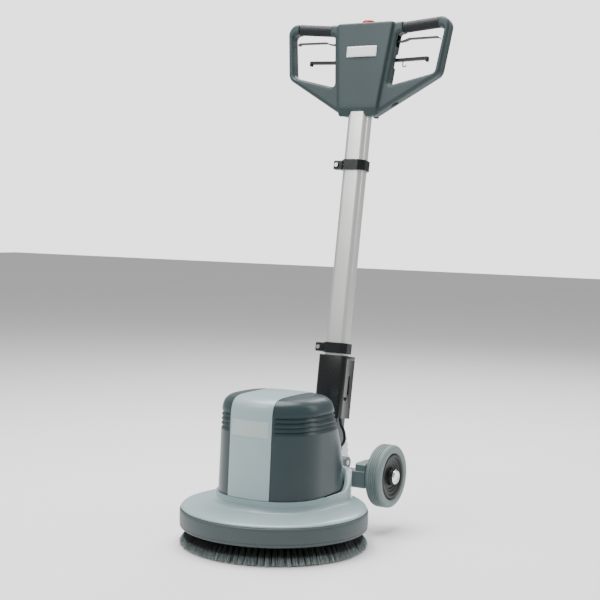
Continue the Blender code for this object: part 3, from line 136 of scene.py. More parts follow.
class Finish:
    """A Principled material and the nodes that feed it."""

    def __init__(self, name, roughness=0.5, metallic=0.0, coat=0.0, specular=0.5):
        self.material = bpy.data.materials.new(name)
        self.material.use_nodes = True
        self.tree = self.material.node_tree
        self.shader = self.tree.nodes["Principled BSDF"]
        constants = {"Roughness": roughness, "Metallic": metallic, "Coat Weight": coat,
                     "Coat Roughness": COAT_ROUGHNESS, "Specular IOR Level": specular}
        for socket, value in constants.items():
            self.shader.inputs[socket].default_value = value
        self.place = Value(self, self.tree.nodes.new("ShaderNodeTexCoord").outputs["Object"])

    def feed(self, socket, value):
        if isinstance(value, Value):
            self.tree.links.new(value.socket, socket)
        else:
            socket.default_value = value

    def node(self, kind, settings, inputs, output=0):
        new = self.tree.nodes.new(kind)
        for setting, value in settings.items():
            if setting == "stops":
                ramp = new.color_ramp
                for _ in range(len(value) - 2):
                    ramp.elements.new(0.5)
                for element, (position, colour) in zip(ramp.elements, value):
                    element.position = position
                    element.color = colour
            else:
                setattr(new, setting, value)
        for socket, value in inputs.items():
            self.feed(new.inputs[socket], value)
        return Value(self, new.outputs[output])

    def mapped(self, scale=(1, 1, 1), turn=(0, 0, 0)):
        return self.node("ShaderNodeMapping", {}, {"Vector": self.place, "Scale": scale, "Rotation": turn})

    def noise(self, scale, detail=2.0, at=None):
        return self.node("ShaderNodeTexNoise", {}, {"Vector": at or self.place, "Scale": scale,
                                                    "Detail": detail, "Roughness": 0.55})

    def cells(self, scale):
        return self.node("ShaderNodeTexVoronoi", {}, {"Vector": self.place, "Scale": scale})

    def height(self):
        """Height above the floor, in metres."""
        return self.node("ShaderNodeSeparateXYZ", {}, {0: self.place}, "Z")

    def mix(self, share, first, second):
        return self.node("ShaderNodeMix", {"data_type": "RGBA"}, {0: share, 6: first, 7: second}, 2)

    def ramp(self, share, stops):
        return self.node("ShaderNodeValToRGB", {"stops": stops}, {0: share})

    def colour(self, value):
        self.feed(self.shader.inputs["Base Color"], value)
        return self

    def rough(self, value):
        self.feed(self.shader.inputs["Roughness"], value)
        return self

    def bump(self, height, millimetres, strength=1.0):
        settings = {"Height": height, "Distance": millimetres / 1000, "Strength": strength}
        self.feed(self.shader.inputs["Normal"], self.node("ShaderNodeBump", {}, settings))
        return self


def paint(red, green, blue):
    """A colour as a paint chart gives it, 0 to 255, as the linear light a shader needs."""
    def linear(step):
        share = step / 255
        return share / 12.92 if share <= 0.04045 else ((share + 0.055) / 1.055) ** 2.4
    return (linear(red), linear(green), linear(blue), 1.0)


def scaled(colour, factor):
    """A linear colour made lighter or darker."""
    return tuple(min(step * factor, 1.0) for step in colour[:3]) + (1.0,)


# %% [markdown]
# ## Moulded plastics
# Housings are moulded in textured steel tools, which leave a fine grain, and handling
# polishes some of it away. Three noises at very different scales make one plastic: the
# tool's grain in the bump, faint flow marks in the colour, and wiped patches in the gloss.

# %% Plastic finishes
TOOL_GRAIN = 900.0


def moulded(name, colour, roughness, grain=0.05, depth=0.05, coat=0.0, mottling=0.08, specular=0.5):
    finish = Finish(name, roughness, coat=coat, specular=specular)
    flow = finish.noise(7.0, 3.0)
    fine = finish.noise(TOOL_GRAIN, 2.0)
    finish.colour(finish.mix(flow.between(0.3, 0.7), scaled(colour, 1 - mottling), scaled(colour, 1 + mottling)))
    finish.rough(roughness - 0.04 + 0.08 * finish.noise(19.0, 4.0) + grain * fine)
    return finish.bump(fine, depth, 0.5).material


deck_plastic = moulded("deck_plastic", paint(146, 166, 169), 0.30, coat=0.2, mottling=0.03)
cover_plastic = moulded("cover_plastic", paint(46, 60, 63), 0.28, mottling=0.05, specular=0.3)
head_plastic = moulded("head_plastic", paint(48, 61, 63), 0.38, grain=0.1, depth=0.08, mottling=0.05,
                       specular=0.35)
bumper_plastic = moulded("bumper_plastic", paint(62, 72, 73), 0.44, depth=0.06, mottling=0.06, specular=0.35)
gloss_black = moulded("gloss_black", paint(17, 20, 21), 0.25, depth=0.02, coat=0.1, mottling=0.1,
                      specular=0.35)
lever_black = moulded("lever_black", paint(20, 22, 24), 0.42, depth=0.05, mottling=0.1, specular=0.3)
rim_black = moulded("rim_black", paint(24, 26, 27), 0.42, depth=0.05, mottling=0.1, specular=0.3)
brush_plastic = moulded("brush_plastic", paint(40, 42, 44), 0.5, mottling=0.1)
fan_plastic = moulded("fan_plastic", paint(90, 92, 92), 0.5, mottling=0.1)
capacitor_plastic = moulded("capacitor_plastic", paint(150, 150, 148), 0.45, mottling=0.05)
switch_plastic = moulded("switch_plastic", paint(85, 86, 88), 0.5, mottling=0.06)
button_red = moulded("button_red", paint(190, 30, 24), 0.3, depth=0.02, coat=0.3, mottling=0.05)
head_label = moulded("head_label", paint(225, 226, 224), 0.3, depth=0.01, mottling=0.02)
cover_label = moulded("cover_label", paint(168, 179, 178), 0.3, depth=0.01, mottling=0.03)
print("plastics made")

# %% [markdown]
# ## Rubber and grips
# The tyres are grey rubber that leaves no marks. Rubber is dull, with a slightly dusty
# bloom. The hand grips have a fine pebbled skin, for which Voronoi cells serve well.

# %% Rubber finishes
def rubber(name, colour, roughness=0.62, dust=0.25):
    finish = Finish(name, roughness, specular=0.35)
    patches = finish.noise(28.0, 5.0)
    dusty = tuple(step + (0.30 - step) * dust for step in colour[:3]) + (1.0,)
    finish.colour(finish.mix(patches.between(0.35, 0.8) * 0.5, colour, dusty))
    finish.rough(roughness - 0.06 + 0.14 * patches)
    return finish.bump(finish.noise(700.0, 3.0), 0.10, 0.5).material


def pebbled(name, colour):
    finish = Finish(name, 0.55, specular=0.3)
    pebbles = finish.cells(620.0)
    finish.colour(finish.mix(pebbles.between(0.1, 0.7), colour, scaled(colour, 1.9)))
    finish.rough(0.62 - 0.14 * pebbles)
    return finish.bump(1.0 - pebbles, 0.35, 0.8).material


tyre_grey = rubber("tyre_grey", paint(112, 127, 126), 0.50)
lead_black = rubber("lead_black", paint(24, 25, 26), 0.4, dust=0.03)
grip_black = pebbled("grip_black", paint(20, 23, 25))
print("rubbers made")

# %% [markdown]
# ## Metals
# Drawn aluminium tube keeps hair-fine lines along its length. Stretching a noise strongly
# along the tube gives those lines, used in roughness and bump. Castings get a coarser
# grain, and turned steel a smoother one.

# %% Metal finishes
def metal(name, colour, roughness, grain_scale, depth, stretch=(1, 1, 1), turn=(0, 0, 0), metallic=1.0):
    finish = Finish(name, roughness, metallic)
    lines = finish.noise(grain_scale, 3.0, finish.mapped(stretch, turn))
    stains = finish.noise(11.0, 3.0)
    finish.colour(finish.mix(stains.between(0.35, 0.75) * 0.6, colour, scaled(colour, 0.88)))
    finish.rough(roughness - 0.07 + 0.14 * lines)
    return finish.bump(lines, depth, 0.35).material


lean_turn = (-math.atan2(along.y, along.z), 0.0, 0.0)
tube_metal = metal("tube_metal", paint(222, 221, 219), 0.36, 420.0, 0.02, (1.0, 1.0, 0.012), lean_turn,
                   metallic=0.85)
bright_steel = metal("bright_steel", paint(228, 228, 228), 0.16, 300.0, 0.01)
plain_steel = metal("plain_steel", paint(190, 192, 194), 0.32, 500.0, 0.02)
gear_steel = metal("gear_steel", paint(165, 166, 168), 0.36, 800.0, 0.03)
cast_metal = metal("cast_metal", paint(180, 182, 182), 0.5, 350.0, 0.12)
winding_copper = metal("winding_copper", paint(196, 118, 72), 0.38, 900.0, 0.2, (1.0, 1.0, 0.1))
bracket_paint = metal("bracket_paint", paint(112, 126, 127), 0.42, 260.0, 0.10, metallic=0.1)
fork_paint = metal("fork_paint", paint(86, 97, 99), 0.42, 300.0, 0.06, metallic=0.1)
print("metals made")

# %% [markdown]
# ## Bristle colour
# The strands run from black at the roots to grey at the tips, driven by height above the floor;
# the lightest greys near the tips are a painted highlight. A fine noise varies the strands' tone
# at random and also lightens some strands and darkens others, a painted highlight and painted shade.

# %% Bristle finish
def bristle_finish():
    finish = Finish("bristle_nylon", 0.42, specular=0.5)
    ragged = finish.height() + 0.006 * finish.noise(160.0, 1.0) - 0.003
    # Height ramp, black towards the roots and grey towards the tips; its light greys near the tips are a painted
    # highlight.
    base = finish.ramp(ragged * 25.0, [
        (0.00, paint(178, 188, 188)), (0.22, paint(150, 161, 161)), (0.38, paint(126, 138, 138)),
        (0.47, paint(40, 44, 45)), (0.56, paint(13, 14, 15)), (1.00, paint(7, 8, 8)),
    ])
    # Streaky noise along the strands: random strand tone, plus a painted highlight and painted shade that lighten
    # some strands and darken others; it also varies the roughness.
    strand_tone_and_highlight_noise = finish.noise(420.0, 1.0, finish.mapped((1.0, 1.0, 0.05)))
    dark = finish.mix(0.55, base, paint(40, 46, 46))
    finish.colour(finish.mix(strand_tone_and_highlight_noise.between(0.42, 0.66), base, dark))
    return finish.rough(0.36 + 0.2 * strand_tone_and_highlight_noise).material


bristle_nylon = bristle_finish()

# %% [markdown]
# ## From mesh to piece
# Every finished piece is a plain mesh whose place is in its vertices, and it rides on the
# body that carries it. One helper does that, and turns its faces outwards. A second one
# takes a model node whose shape is already right, merges its loose triangles and breaks
# its sharp edges, because no real edge is perfectly sharp and light catches on the bevel.

# %% Piece helpers
TOUCHING = 1e-6
FLAT = math.radians(0.6)


def plain_object(name, mesh):
    made = bpy.data.objects.new(name, mesh)
    bpy.context.scene.collection.objects.link(made)
    return made


def as_mesh(name, bm):
    mesh = bpy.data.meshes.new(name)
    bm.to_mesh(mesh)
    bm.free()
    return mesh


def shaded(mesh, finish, smooth=38.0):
    """Give a mesh its one finish, smooth but for edges sharper than an angle in degrees."""
    mesh.materials.clear()
    mesh.materials.append(finish)
    mesh.shade_smooth()
    mesh.set_sharp_from_angle(angle=math.radians(smooth))
    return mesh


def settle(piece, body, stands_for=()):
    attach(piece, body)
    if stands_for:
        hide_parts(*stands_for)
    return piece


def add_piece(name, bm, finish, body, stands_for=(), smooth=38.0, place=None, outward=True):
    if place is not None:
        bm.transform(place)
    if outward:
        bmesh.ops.recalc_face_normals(bm, faces=bm.faces)
    return settle(plain_object(name, shaded(as_mesh(name, bm), finish, smooth)), body, stands_for)


def modify(piece, kind, **settings):
    modifier = piece.modifiers.new(kind.lower(), kind)
    for setting, value in settings.items():
        setattr(modifier, setting, value)
    return piece


def baked(piece):
    """Replace a piece's mesh by what its modifiers make of it, and clear them."""
    graph = bpy.context.evaluated_depsgraph_get()
    mesh = bpy.data.meshes.new_from_object(piece.evaluated_get(graph))
    mesh.name = piece.name
    piece.modifiers.clear()
    piece.data = mesh
    return piece


def merged(node):
    """A node's shape with its loose triangles joined and its flat faces made whole."""
    bm = bmesh.new()
    bm.from_mesh(nodes[node].data)
    bmesh.ops.remove_doubles(bm, verts=bm.verts, dist=TOUCHING)
    bmesh.ops.dissolve_limit(bm, angle_limit=FLAT, verts=bm.verts, edges=bm.edges)
    return bm


def softened(node, finish, edge, body):
    """A merged copy of a node, its edges broken by a small bevel."""
    name = node + "_finished"
    piece = plain_object(name, shaded(as_mesh(name, merged(node)), finish))
    modify(piece, "BEVEL", width=edge, segments=2, limit_method="ANGLE", angle_limit=math.radians(32))
    modify(piece, "WEIGHTED_NORMAL", keep_sharp=True)
    return settle(baked(piece), body, [node])


# %% [markdown]
# Three ways of drawing a shape recur. A skin joins rings of points by quads, a turned
# shape spins a profile, and a cut drops what lies beyond a plane.

# %% Shape helpers
def skinned(rows, caps=(), closed=False):
    """Quads between neighbouring rings of points, and a face over each ring in caps."""
    bm = bmesh.new()
    rows = [[bm.verts.new(point) for point in row] for row in rows]
    for lower, upper in zip(rows, rows[1:] + (rows[:1] if closed else [])):
        for i in range(len(lower)):
            k = (i + 1) % len(lower)
            bm.faces.new((lower[i], lower[k], upper[k], upper[i]))
    for row in caps:
        bm.faces.new(rows[row])
    return bm


def cut_away(bm, place, facing):
    """Drop what lies beyond a plane, on the side that it faces."""
    geometry = list(bm.verts) + list(bm.edges) + list(bm.faces)
    bmesh.ops.bisect_plane(bm, geom=geometry, dist=TOUCHING, plane_co=place, plane_no=facing,
                           clear_outer=True)


def turned(profile, sides=96, closed=True):
    """Spin (radius, height) pairs round the vertical into a skin of quads."""
    bm = bmesh.new()
    rings = []
    for step in range(sides):
        angle = 2 * math.pi * step / sides
        rings.append([bm.verts.new((radius * math.cos(angle), radius * math.sin(angle), height))
                      for radius, height in profile])
    count = len(profile)
    for step in range(sides):
        here, there = rings[step], rings[(step + 1) % sides]
        for i in range(count if closed else count - 1):
            k = (i + 1) % count
            bm.faces.new((here[i], there[i], there[k], here[k]))
    bmesh.ops.remove_doubles(bm, verts=bm.verts, dist=TOUCHING)
    return bm


def rounded(profile, radius, steps=4, closed=True):
    """Replace each corner of a profile by a small arc, as a cutter's nose would."""
    result = []
    count = len(profile)
    for i, point in enumerate(profile):
        if not closed and i in (0, count - 1):
            result.append(point)
            continue
        before, here, after = (Vector(profile[i - 1]), Vector(point), Vector(profile[(i + 1) % count]))
        one, two = before - here, after - here
        reach = min(radius, 0.45 * one.length, 0.45 * two.length)
        start, end = here + one.normalized() * reach, here + two.normalized() * reach
        for k in range(steps + 1):
            share = k / steps
            result.append(tuple(start * (1 - share) ** 2 + here * 2 * share * (1 - share) + end * share ** 2))
    return result


def smoothstep(value):
    value = min(max(value, 0.0), 1.0)
    return value * value * (3.0 - 2.0 * value)


def oblong(half_x, half_y, corner, steps=10):
    """An oblong's outline with round corners."""
    points = []
    for k, (sx, sy) in enumerate([(1, 1), (-1, 1), (-1, -1), (1, -1)]):
        for i in range(steps + 1):
            angle = math.pi / 2 * (k + i / steps)
            points.append((sx * (half_x - corner) + corner * math.cos(angle),
                           sy * (half_y - corner) + corner * math.sin(angle)))
    return points


# %% [markdown]
# ## The bumper and the wheels
# Bumper, tyres, rims and grips are all turned shapes: a profile spun round an axis. The
# bumper is a soft ring with a lip low down. A transport tyre has four shallow grooves
# round its tread, and the rim is a dish in steps with a hub that stands proud.

# %% Bumper ring
low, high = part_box("bumper_ring")
ring_radius = (high.x - low.x) / 2
foot, top = low.z, high.z
bumper_profile = rounded([
    (ring_radius - 0.0030, top), (ring_radius - 0.0008, top - 0.0022), (ring_radius, top - 0.0060),
    (ring_radius, foot + 0.0092), (ring_radius - 0.0012, foot + 0.0080), (ring_radius - 0.0006, foot + 0.0066),
    (ring_radius - 0.0008, foot + 0.0022), (ring_radius - 0.0030, foot), (ring_radius - 0.0088, foot),
    (ring_radius - 0.0088, top),
], 0.0009, 3)
add_piece("bumper", turned(bumper_profile, 176), bumper_plastic, "chassis", ["bumper_ring"], place=BASE)
print("bumper radius", round(ring_radius, 4))

# %% Wheels
low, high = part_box("tyre_right")
wheel_middle = (low + high) / 2
wheel_radius = (high.z - low.z) / 2
half_tread = (high.x - low.x) / 2
rim_radius = (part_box("wheel_rim_right")[1].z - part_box("wheel_rim_right")[0].z) / 2


def tyre_profile():
    points = [(rim_radius + 0.0005, half_tread - 0.0040), (rim_radius + 0.0030, half_tread - 0.0006)]
    points += [(wheel_radius - 0.0085, half_tread), (wheel_radius - 0.0045, half_tread - 0.0010)]
    points += [(wheel_radius - 0.0012, half_tread - 0.0042), (wheel_radius - 0.0002, half_tread - 0.0075)]
    for middle in (0.0075, 0.0025, -0.0025, -0.0075):
        points += [(wheel_radius, middle + 0.0013), (wheel_radius - 0.0017, middle + 0.0008)]
        points += [(wheel_radius - 0.0017, middle - 0.0008), (wheel_radius, middle - 0.0013)]
    points += [(r, -z) for r, z in points[5::-1]]
    return rounded(points, 0.0006, 2)


def rim_profile():
    edge = half_tread
    return rounded([
        (0.0088, edge + 0.0026), (0.0180, edge + 0.0026), (0.0200, edge - 0.0010), (0.0215, edge - 0.0090),
        (0.0290, edge - 0.0098), (0.0300, edge - 0.0074), (0.0350, edge - 0.0074), (0.0362, edge - 0.0050),
        (0.0440, edge - 0.0050), (0.0452, edge - 0.0020), (rim_radius - 0.0030, edge - 0.0014),
        (rim_radius, edge - 0.0050), (rim_radius, -edge + 0.0050), (rim_radius - 0.0030, -edge + 0.0020),
        (0.0300, -edge + 0.0080), (0.0190, -edge + 0.0030), (0.0088, -edge + 0.0015),
    ], 0.0010, 3)


for word, side in (("left", -1), ("right", 1)):
    upright = Matrix.Rotation(side * math.pi / 2, 4, "Y")
    there = Matrix.Translation((side * wheel_middle.x, wheel_middle.y, wheel_middle.z)) @ upright
    add_piece(f"wheel_tyre_{word}", turned(tyre_profile(), 120), tyre_grey, f"wheel_{word}",
              [f"tyre_{word}"], place=there)
    add_piece(f"wheel_dish_{word}", turned(rim_profile(), 96), rim_black, f"wheel_{word}",
              [f"wheel_rim_{word}"], place=there)
    low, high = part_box(f"axle_cap_{word}")
    cap_radius = (high.z - low.z) / 2
    thick = high.x - low.x
    cap_profile = rounded([(0.0, 0.0), (cap_radius, 0.0), (cap_radius, 0.42 * thick), (cap_radius - 0.0030, thick),
                           (cap_radius - 0.0062, thick), (cap_radius - 0.0070, 0.72 * thick),
                           (0.0, 0.72 * thick)], 0.0006, 3, closed=False)
    inner = Matrix.Translation(((low.x if side > 0 else high.x), wheel_middle.y, wheel_middle.z)) @ upright
    add_piece(f"hub_cap_{word}", turned(cap_profile, 64, closed=False), bright_steel, "chassis",
              [f"axle_cap_{word}"], place=inner)
print("wheel radius", round(wheel_radius, 4), "tread", round(2 * half_tread, 4))

# %% [markdown]
# ## The motor cover
# The cover is a moulded bell with an egg-shaped plan: nearly round in front and longer
# behind. It is drawn as rings of that plan, each narrower than the one below, and the
# spaces between the drawn rings are filled along smooth curves. The same skin is then
# cut twice, for the two dark sides and for the pale centre panel between them.

# %% The cover's skin
low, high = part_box("motor_cover_right")
cover_foot = low.z
cover_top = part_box("motor_cover_centre")[1].z - 0.0008
half_width = high.x
cover_front = spindle.y - low.y
cover_rear = high.y - spindle.y
stripe_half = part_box("motor_cover_centre")[1].x
cover_height = cover_top - cover_foot
COVER_RINGS = [
    (0.000, 1.000, 1.000, 1.000), (0.420, 0.982, 0.968, 0.870), (0.840, 0.962, 0.935, 0.600),
    (0.911, 0.930, 0.905, 0.570), (0.962, 0.848, 0.823, 0.508), (0.989, 0.685, 0.665, 0.402),
    (1.000, 0.300, 0.300, 0.180),
]


def along_curve(stations, column, position):
    """Read a smooth curve through the stations, given by their first column."""
    span = max(i for i in range(len(stations) - 1) if position >= stations[i][0] - 1e-9)
    left, right = stations[span], stations[span + 1]
    width = right[0] - left[0]

    def slope(i):
        i = min(max(i, 1), len(stations) - 2)
        before, here, after = stations[i - 1], stations[i], stations[i + 1]
        back = (here[column] - before[column]) / (here[0] - before[0])
        ahead = (after[column] - here[column]) / (after[0] - here[0])
        return 0.0 if back * ahead <= 0 else 2 * back * ahead / (back + ahead)

    share = (position - left[0]) / width
    rise = right[column] - left[column]
    start, end = slope(span) * width, slope(span + 1) * width
    return (left[column] + start * share + (3 * rise - 2 * start - end) * share ** 2
            + (start + end - 2 * rise) * share ** 3)


def egg_point(angle, wide, ahead, behind):
    """A point of the plan: nearly round in front, squarer and longer behind."""
    front = math.sin(angle) < 0
    power = 2.3 if front else 3.4
    length = cover_front * ahead if front else cover_rear * behind
    x = half_width * wide * math.copysign(abs(math.cos(angle)) ** (2 / power), math.cos(angle))
    return x, length * math.copysign(abs(math.sin(angle)) ** (2 / power), math.sin(angle))


def cover_point(angle, share):
    wide, ahead, behind = (along_curve(COVER_RINGS, column, share) for column in (1, 2, 3))
    x, y = egg_point(angle, wide, ahead, behind)
    return Vector((x, y, cover_foot + cover_height * share))


# %% [markdown]
# Each dark side carries four air louvres, long horizontal grooves that start just beside
# the centre panel and run back round the side. They are pressed into the skin by moving
# its points inward along the surface, with a depth that follows a soft saw-tooth in
# height and fades out at both ends.

# %% Louvres and shells
LOUVRES = 4
LOUVRE_PITCH = 0.0103
LOUVRE_FIRST = 0.2645
LOUVRE_DEPTH = 0.0044
COVER_SIDES = 320
NEARBY = 0.004


def louvre_depth(point):
    level = (point.z - LOUVRE_FIRST) / LOUVRE_PITCH
    if not 0.0 <= level <= LOUVRES:
        return 0.0
    within = level % 1.0
    tooth = (within / 0.80) ** 1.2 if within < 0.80 else 1.0 - smoothstep((within - 0.80) / 0.20)
    start = smoothstep((abs(point.x) - stripe_half - 0.0030) / 0.0050)
    end = 1.0 - smoothstep((point.y - 0.088) / 0.014)
    return LOUVRE_DEPTH * tooth * start * end


def cover_levels():
    """Rings close together where the louvres and the shoulder are."""
    levels = [i / 26 * 0.58 for i in range(26)]
    first = (LOUVRE_FIRST - 0.004 - cover_foot) / cover_height
    last = (LOUVRE_FIRST + LOUVRES * LOUVRE_PITCH + 0.002 - cover_foot) / cover_height
    levels = [level for level in levels if level < first]
    levels += [first + (last - first) * i / 68 for i in range(69)]
    steps = 34
    levels += [last + (1.0 - last) * math.sin(math.pi / 2 * i / steps) for i in range(1, steps + 1)]
    return levels


def cover_skin(grow, louvres):
    angles = [2 * math.pi * i / COVER_SIDES for i in range(COVER_SIDES)]
    rings = []
    for share in cover_levels():
        ring = []
        for angle in angles:
            point = cover_point(angle, share)
            side = cover_point(angle + NEARBY, share) - cover_point(angle - NEARBY, share)
            rise = (cover_point(angle, min(share + NEARBY, 1.0))
                    - cover_point(angle, max(share - NEARBY, 0.0)))
            normal = side.cross(rise).normalized()
            depth = louvre_depth(point) if louvres else 0.0
            ring.append(point + normal * (grow - depth))
        rings.append(ring)
    return skinned(rings, caps=[-1])


def cover_panel(name, finish, side, stands_for):
    """side -1 or 1 is a dark shell, and 0 the centre panel."""
    bm = cover_skin(0.0008 if side == 0 else 0.0, side != 0)
    cuts = [(-stripe_half, -1), (stripe_half, 1)] if side == 0 else [(side * (stripe_half + 0.0005), -side)]
    for x, outer in cuts:
        cut_away(bm, (x, 0, 0), (outer, 0, 0))
    piece = add_piece(name, bm, finish, "chassis", stands_for, smooth=50, place=BASE)
    modify(piece, "SOLIDIFY", thickness=0.0030, offset=-1.0)
    modify(piece, "BEVEL", width=0.0007, segments=2, limit_method="ANGLE", angle_limit=math.radians(60))
    return baked(piece)


cover_panel("cover_side_left", cover_plastic, -1, ["motor_cover_left"])
cover_panel("cover_side_right", cover_plastic, 1, ["motor_cover_right"])
cover_panel("cover_stripe", deck_plastic, 0, ["motor_cover_centre"])
print("cover", round(2 * half_width, 3), "wide", round(cover_height, 3), "high")

# %% [markdown]
# A blank label plate lies on the centre panel. It is cut from the same skin, grown by the
# thickness of a foil, so it follows the curve exactly.

# %% Cover label
def cover_label_plate():
    low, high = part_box("cover_badge_plate")
    bm = cover_skin(0.0012, False)
    cut_away(bm, (low.x, 0, 0), (-1, 0, 0))
    cut_away(bm, (high.x, 0, 0), (1, 0, 0))
    cut_away(bm, (0, 0, low.z), (0, 0, -1))
    cut_away(bm, (0, 0, high.z), (0, 0, 1))
    cut_away(bm, (0, 0, 0), (0, 1, 0))
    return bm


label = add_piece("cover_label_plate", cover_label_plate(), cover_label, "chassis", ["cover_badge_plate"],
                  smooth=50, place=BASE)
baked(modify(label, "SOLIDIFY", thickness=0.0003, offset=-1.0))
print("cover label faces", len(label.data.polygons))

# %% [markdown]
# ## The deck
# Below the cover sits the deck: a shallow dome over the brush that sweeps up through a
# cove into an upright collar round the cover. Behind, the collar widens and climbs
# beside the hinge, and a flat pad carries the hinge's casting. It is one loft from the
# round rim to the egg-shaped collar.

# %% Deck housing
COLLAR_SIDE = 0.003
COLLAR_FLARE = 0.0135
EAR_RISE = 0.040
COLLAR_HEIGHT = 0.120
DECK_SIDES = 192
DECK_DOME = [
    (0.0, 0.0040), (0.05, 0.0062), (0.20, 0.0086), (0.45, 0.0100), (0.70, 0.0106), (0.83, 0.0112),
    (0.905, 0.0126), (0.953, 0.0152), (0.985, 0.0196), (1.0, 0.0250),
]
deck_radius = ring_radius - 0.0035
bumper_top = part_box("bumper_ring")[1].z
pad_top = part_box("hinge_bracket")[0].z - 0.0004


def collar_reach(y):
    return COLLAR_SIDE + COLLAR_FLARE * smoothstep(y / (0.75 * cover_rear))


def collar_crest(y):
    return COLLAR_HEIGHT + EAR_RISE * smoothstep((y - 0.5 * cover_rear) / (0.4 * cover_rear))


def plan_ring(reach):
    """The cover's plan pushed outwards; reach may depend on y."""
    points = []
    for i in range(DECK_SIDES):
        angle = 2 * math.pi * i / DECK_SIDES
        here, ahead, behind = (Vector(egg_point(angle + turn, 1.0, 1.0, 1.0)) for turn in (0, 0.003, -0.003))
        step = ahead - behind
        outward = Vector((step.y, -step.x)).normalized()
        points.append(here + outward * (reach(here.y) if callable(reach) else reach))
    return points


def pad_share(x, y):
    """1 on the raised pad under the hinge bracket, falling smoothly to 0 round it."""
    return (1.0 - smoothstep((abs(x) - 0.058) / 0.010)) * smoothstep((y - cover_rear + 0.030) / 0.016)


def deck():
    turns = [2 * math.pi * i / DECK_SIDES for i in range(DECK_SIDES)]
    rim = [Vector((deck_radius * math.cos(turn), deck_radius * math.sin(turn))) for turn in turns]
    collar = plan_ring(collar_reach)
    inside = plan_ring(0.0016)
    rings = []

    def ring(outline, height, pull=1.0, pad=False):
        points = []
        for i in range(DECK_SIDES):
            x, y = outline[i] * pull
            rise = height(collar[i].y) if callable(height) else height
            if pad:
                rise += max(pad_top - rise, 0.0) * pad_share(x, y)
            points.append((x, y, rise))
        rings.append(points)

    def crest(drop):
        return lambda y: collar_crest(y) - drop

    for pull, rise in ((0.955, -0.004), (0.960, 0.0003), (0.992, 0.0003), (0.998, 0.0008), (1.0, 0.0020),
                       (0.9985, 0.0032)):
        ring(rim, bumper_top + rise, pull)
    for i in range(41):
        share = 1 - (1 - i / 40) ** 1.6
        rise = along_curve(DECK_DOME, 1, min(share, 0.9999))
        ring([r.lerp(c, max(share, 0.012)) for r, c in zip(rim, collar)], bumper_top + rise, pad=True)
    ring(collar, crest(0.0030))
    ring(collar, crest(0.0016))
    for inward, drop in ((0.0006, 0.0006), (0.0016, 0.0)):
        ring([c + (d - c).normalized() * inward for c, d in zip(collar, inside)], crest(drop))
    ring([d + (c - d).normalized() * 0.0010 for c, d in zip(collar, inside)], crest(0.0))
    ring(inside, crest(0.0010))
    ring(inside, bumper_top + 0.0290)
    ring([d * 0.9 for d in inside], bumper_top + 0.0285)
    return skinned(rings)


deck_piece = add_piece("deck_dome", deck(), deck_plastic, "chassis", ["deck_housing"], smooth=55, place=BASE)
baked(modify(deck_piece, "SOLIDIFY", thickness=0.0030, offset=-1.0))
print("deck faces", len(deck_piece.data.polygons))

# %% [markdown]
# ## Castings, clamps and levers
# These nodes already have the right shape, so each is copied, its edges are broken and it
# gets its finish: the hinge bracket and fork, the clamps, the levers and the small parts.

# %% Softened pieces
SOFTENED = [
    ("hinge_bracket", bracket_paint, 0.0012, "chassis"), ("tilt_sector", plain_steel, 0.0004, "chassis"),
    ("lead_gland", gloss_black, 0.0010, "chassis"), ("hinge_fork", fork_paint, 0.0008, "handle"),
    ("tube_clamp_lower", gloss_black, 0.0009, "handle"), ("tube_clamp_upper", gloss_black, 0.0009, "handle"),
    ("clamp_screw_lower", bright_steel, 0.0004, "handle"),
    ("clamp_screw_upper", bright_steel, 0.0004, "handle"),
    ("cord_gland", gloss_black, 0.0012, "handle"),
    ("switch_lever_left", lever_black, 0.0005, "switch_lever_left"),
    ("switch_lever_right", lever_black, 0.0005, "switch_lever_right"),
    ("tilt_lever", lever_black, 0.0009, "tilt_lever"),
    ("solution_lever", lever_black, 0.0009, "solution_lever"),
    ("safety_button", button_red, 0.0012, "safety_button"),
]
for node, finish, edge, body in SOFTENED:
    piece = softened(node, finish, edge, body)
    print(node, len(piece.data.polygons))

# %% [markdown]
# ## The hinge box
# The black box at the tube's foot has a raised rim round each side, and inside it a long
# slot for the latch and a round screw. The model's own box is cut to that relief before
# its edges are rounded.

# %% Cutting tools
def as_cutter(bm):
    bmesh.ops.recalc_face_normals(bm, faces=bm.faces)
    return plain_object("cutter", as_mesh("cutter", bm))


def block(low, high, edge=0.0):
    bm = bmesh.new()
    bmesh.ops.create_cube(bm, size=1.0)
    for vertex in bm.verts:
        vertex.co = Vector((low[k] + (high[k] - low[k]) * (vertex.co[k] + 0.5) for k in range(3)))
    if edge:
        bmesh.ops.bevel(bm, geom=bm.edges, offset=edge, segments=3, affect="EDGES")
    return as_cutter(bm)


def cut_by(shape, cutters):
    for cutter in cutters:
        modify(shape, "BOOLEAN", operation="DIFFERENCE", solver="EXACT", object=cutter)
        baked(shape)
        bpy.data.objects.remove(cutter)
    return shape


# %% Hinge box
RECESS = 0.0016
SLOT_DEPTH = 0.0052
SCREW = [(0.0, 0.0), (0.0044, 0.0), (0.0044, 0.0016), (0.0012, 0.0020), (0.0009, 0.0008), (0.0, 0.0008)]
low, high = handle_box("hinge_box")


def side_slab(side, depth, front, rear, foot, top, edge):
    """A block that bites a given depth into one side of the box."""
    near, far = sorted((side * (high.x - depth), side * (high.x + 0.02)))
    return block((near, front, foot), (far, rear, top), edge)


def screw_head(side):
    bm = turned(rounded(SCREW, 0.0004, 2, closed=False), 28, closed=False)
    bm.transform(Matrix.Translation((side * (high.x - RECESS), low.y + 0.0285, low.z + 0.0470))
                 @ Matrix.Rotation(side * math.pi / 2, 4, "Y"))
    return as_cutter(bm)


def into_one(shapes):
    """Several plain shapes in one bmesh, the shapes themselves removed."""
    bm = bmesh.new()
    for shape in shapes:
        bm.from_mesh(shape.data)
        bpy.data.objects.remove(shape)
    return bm


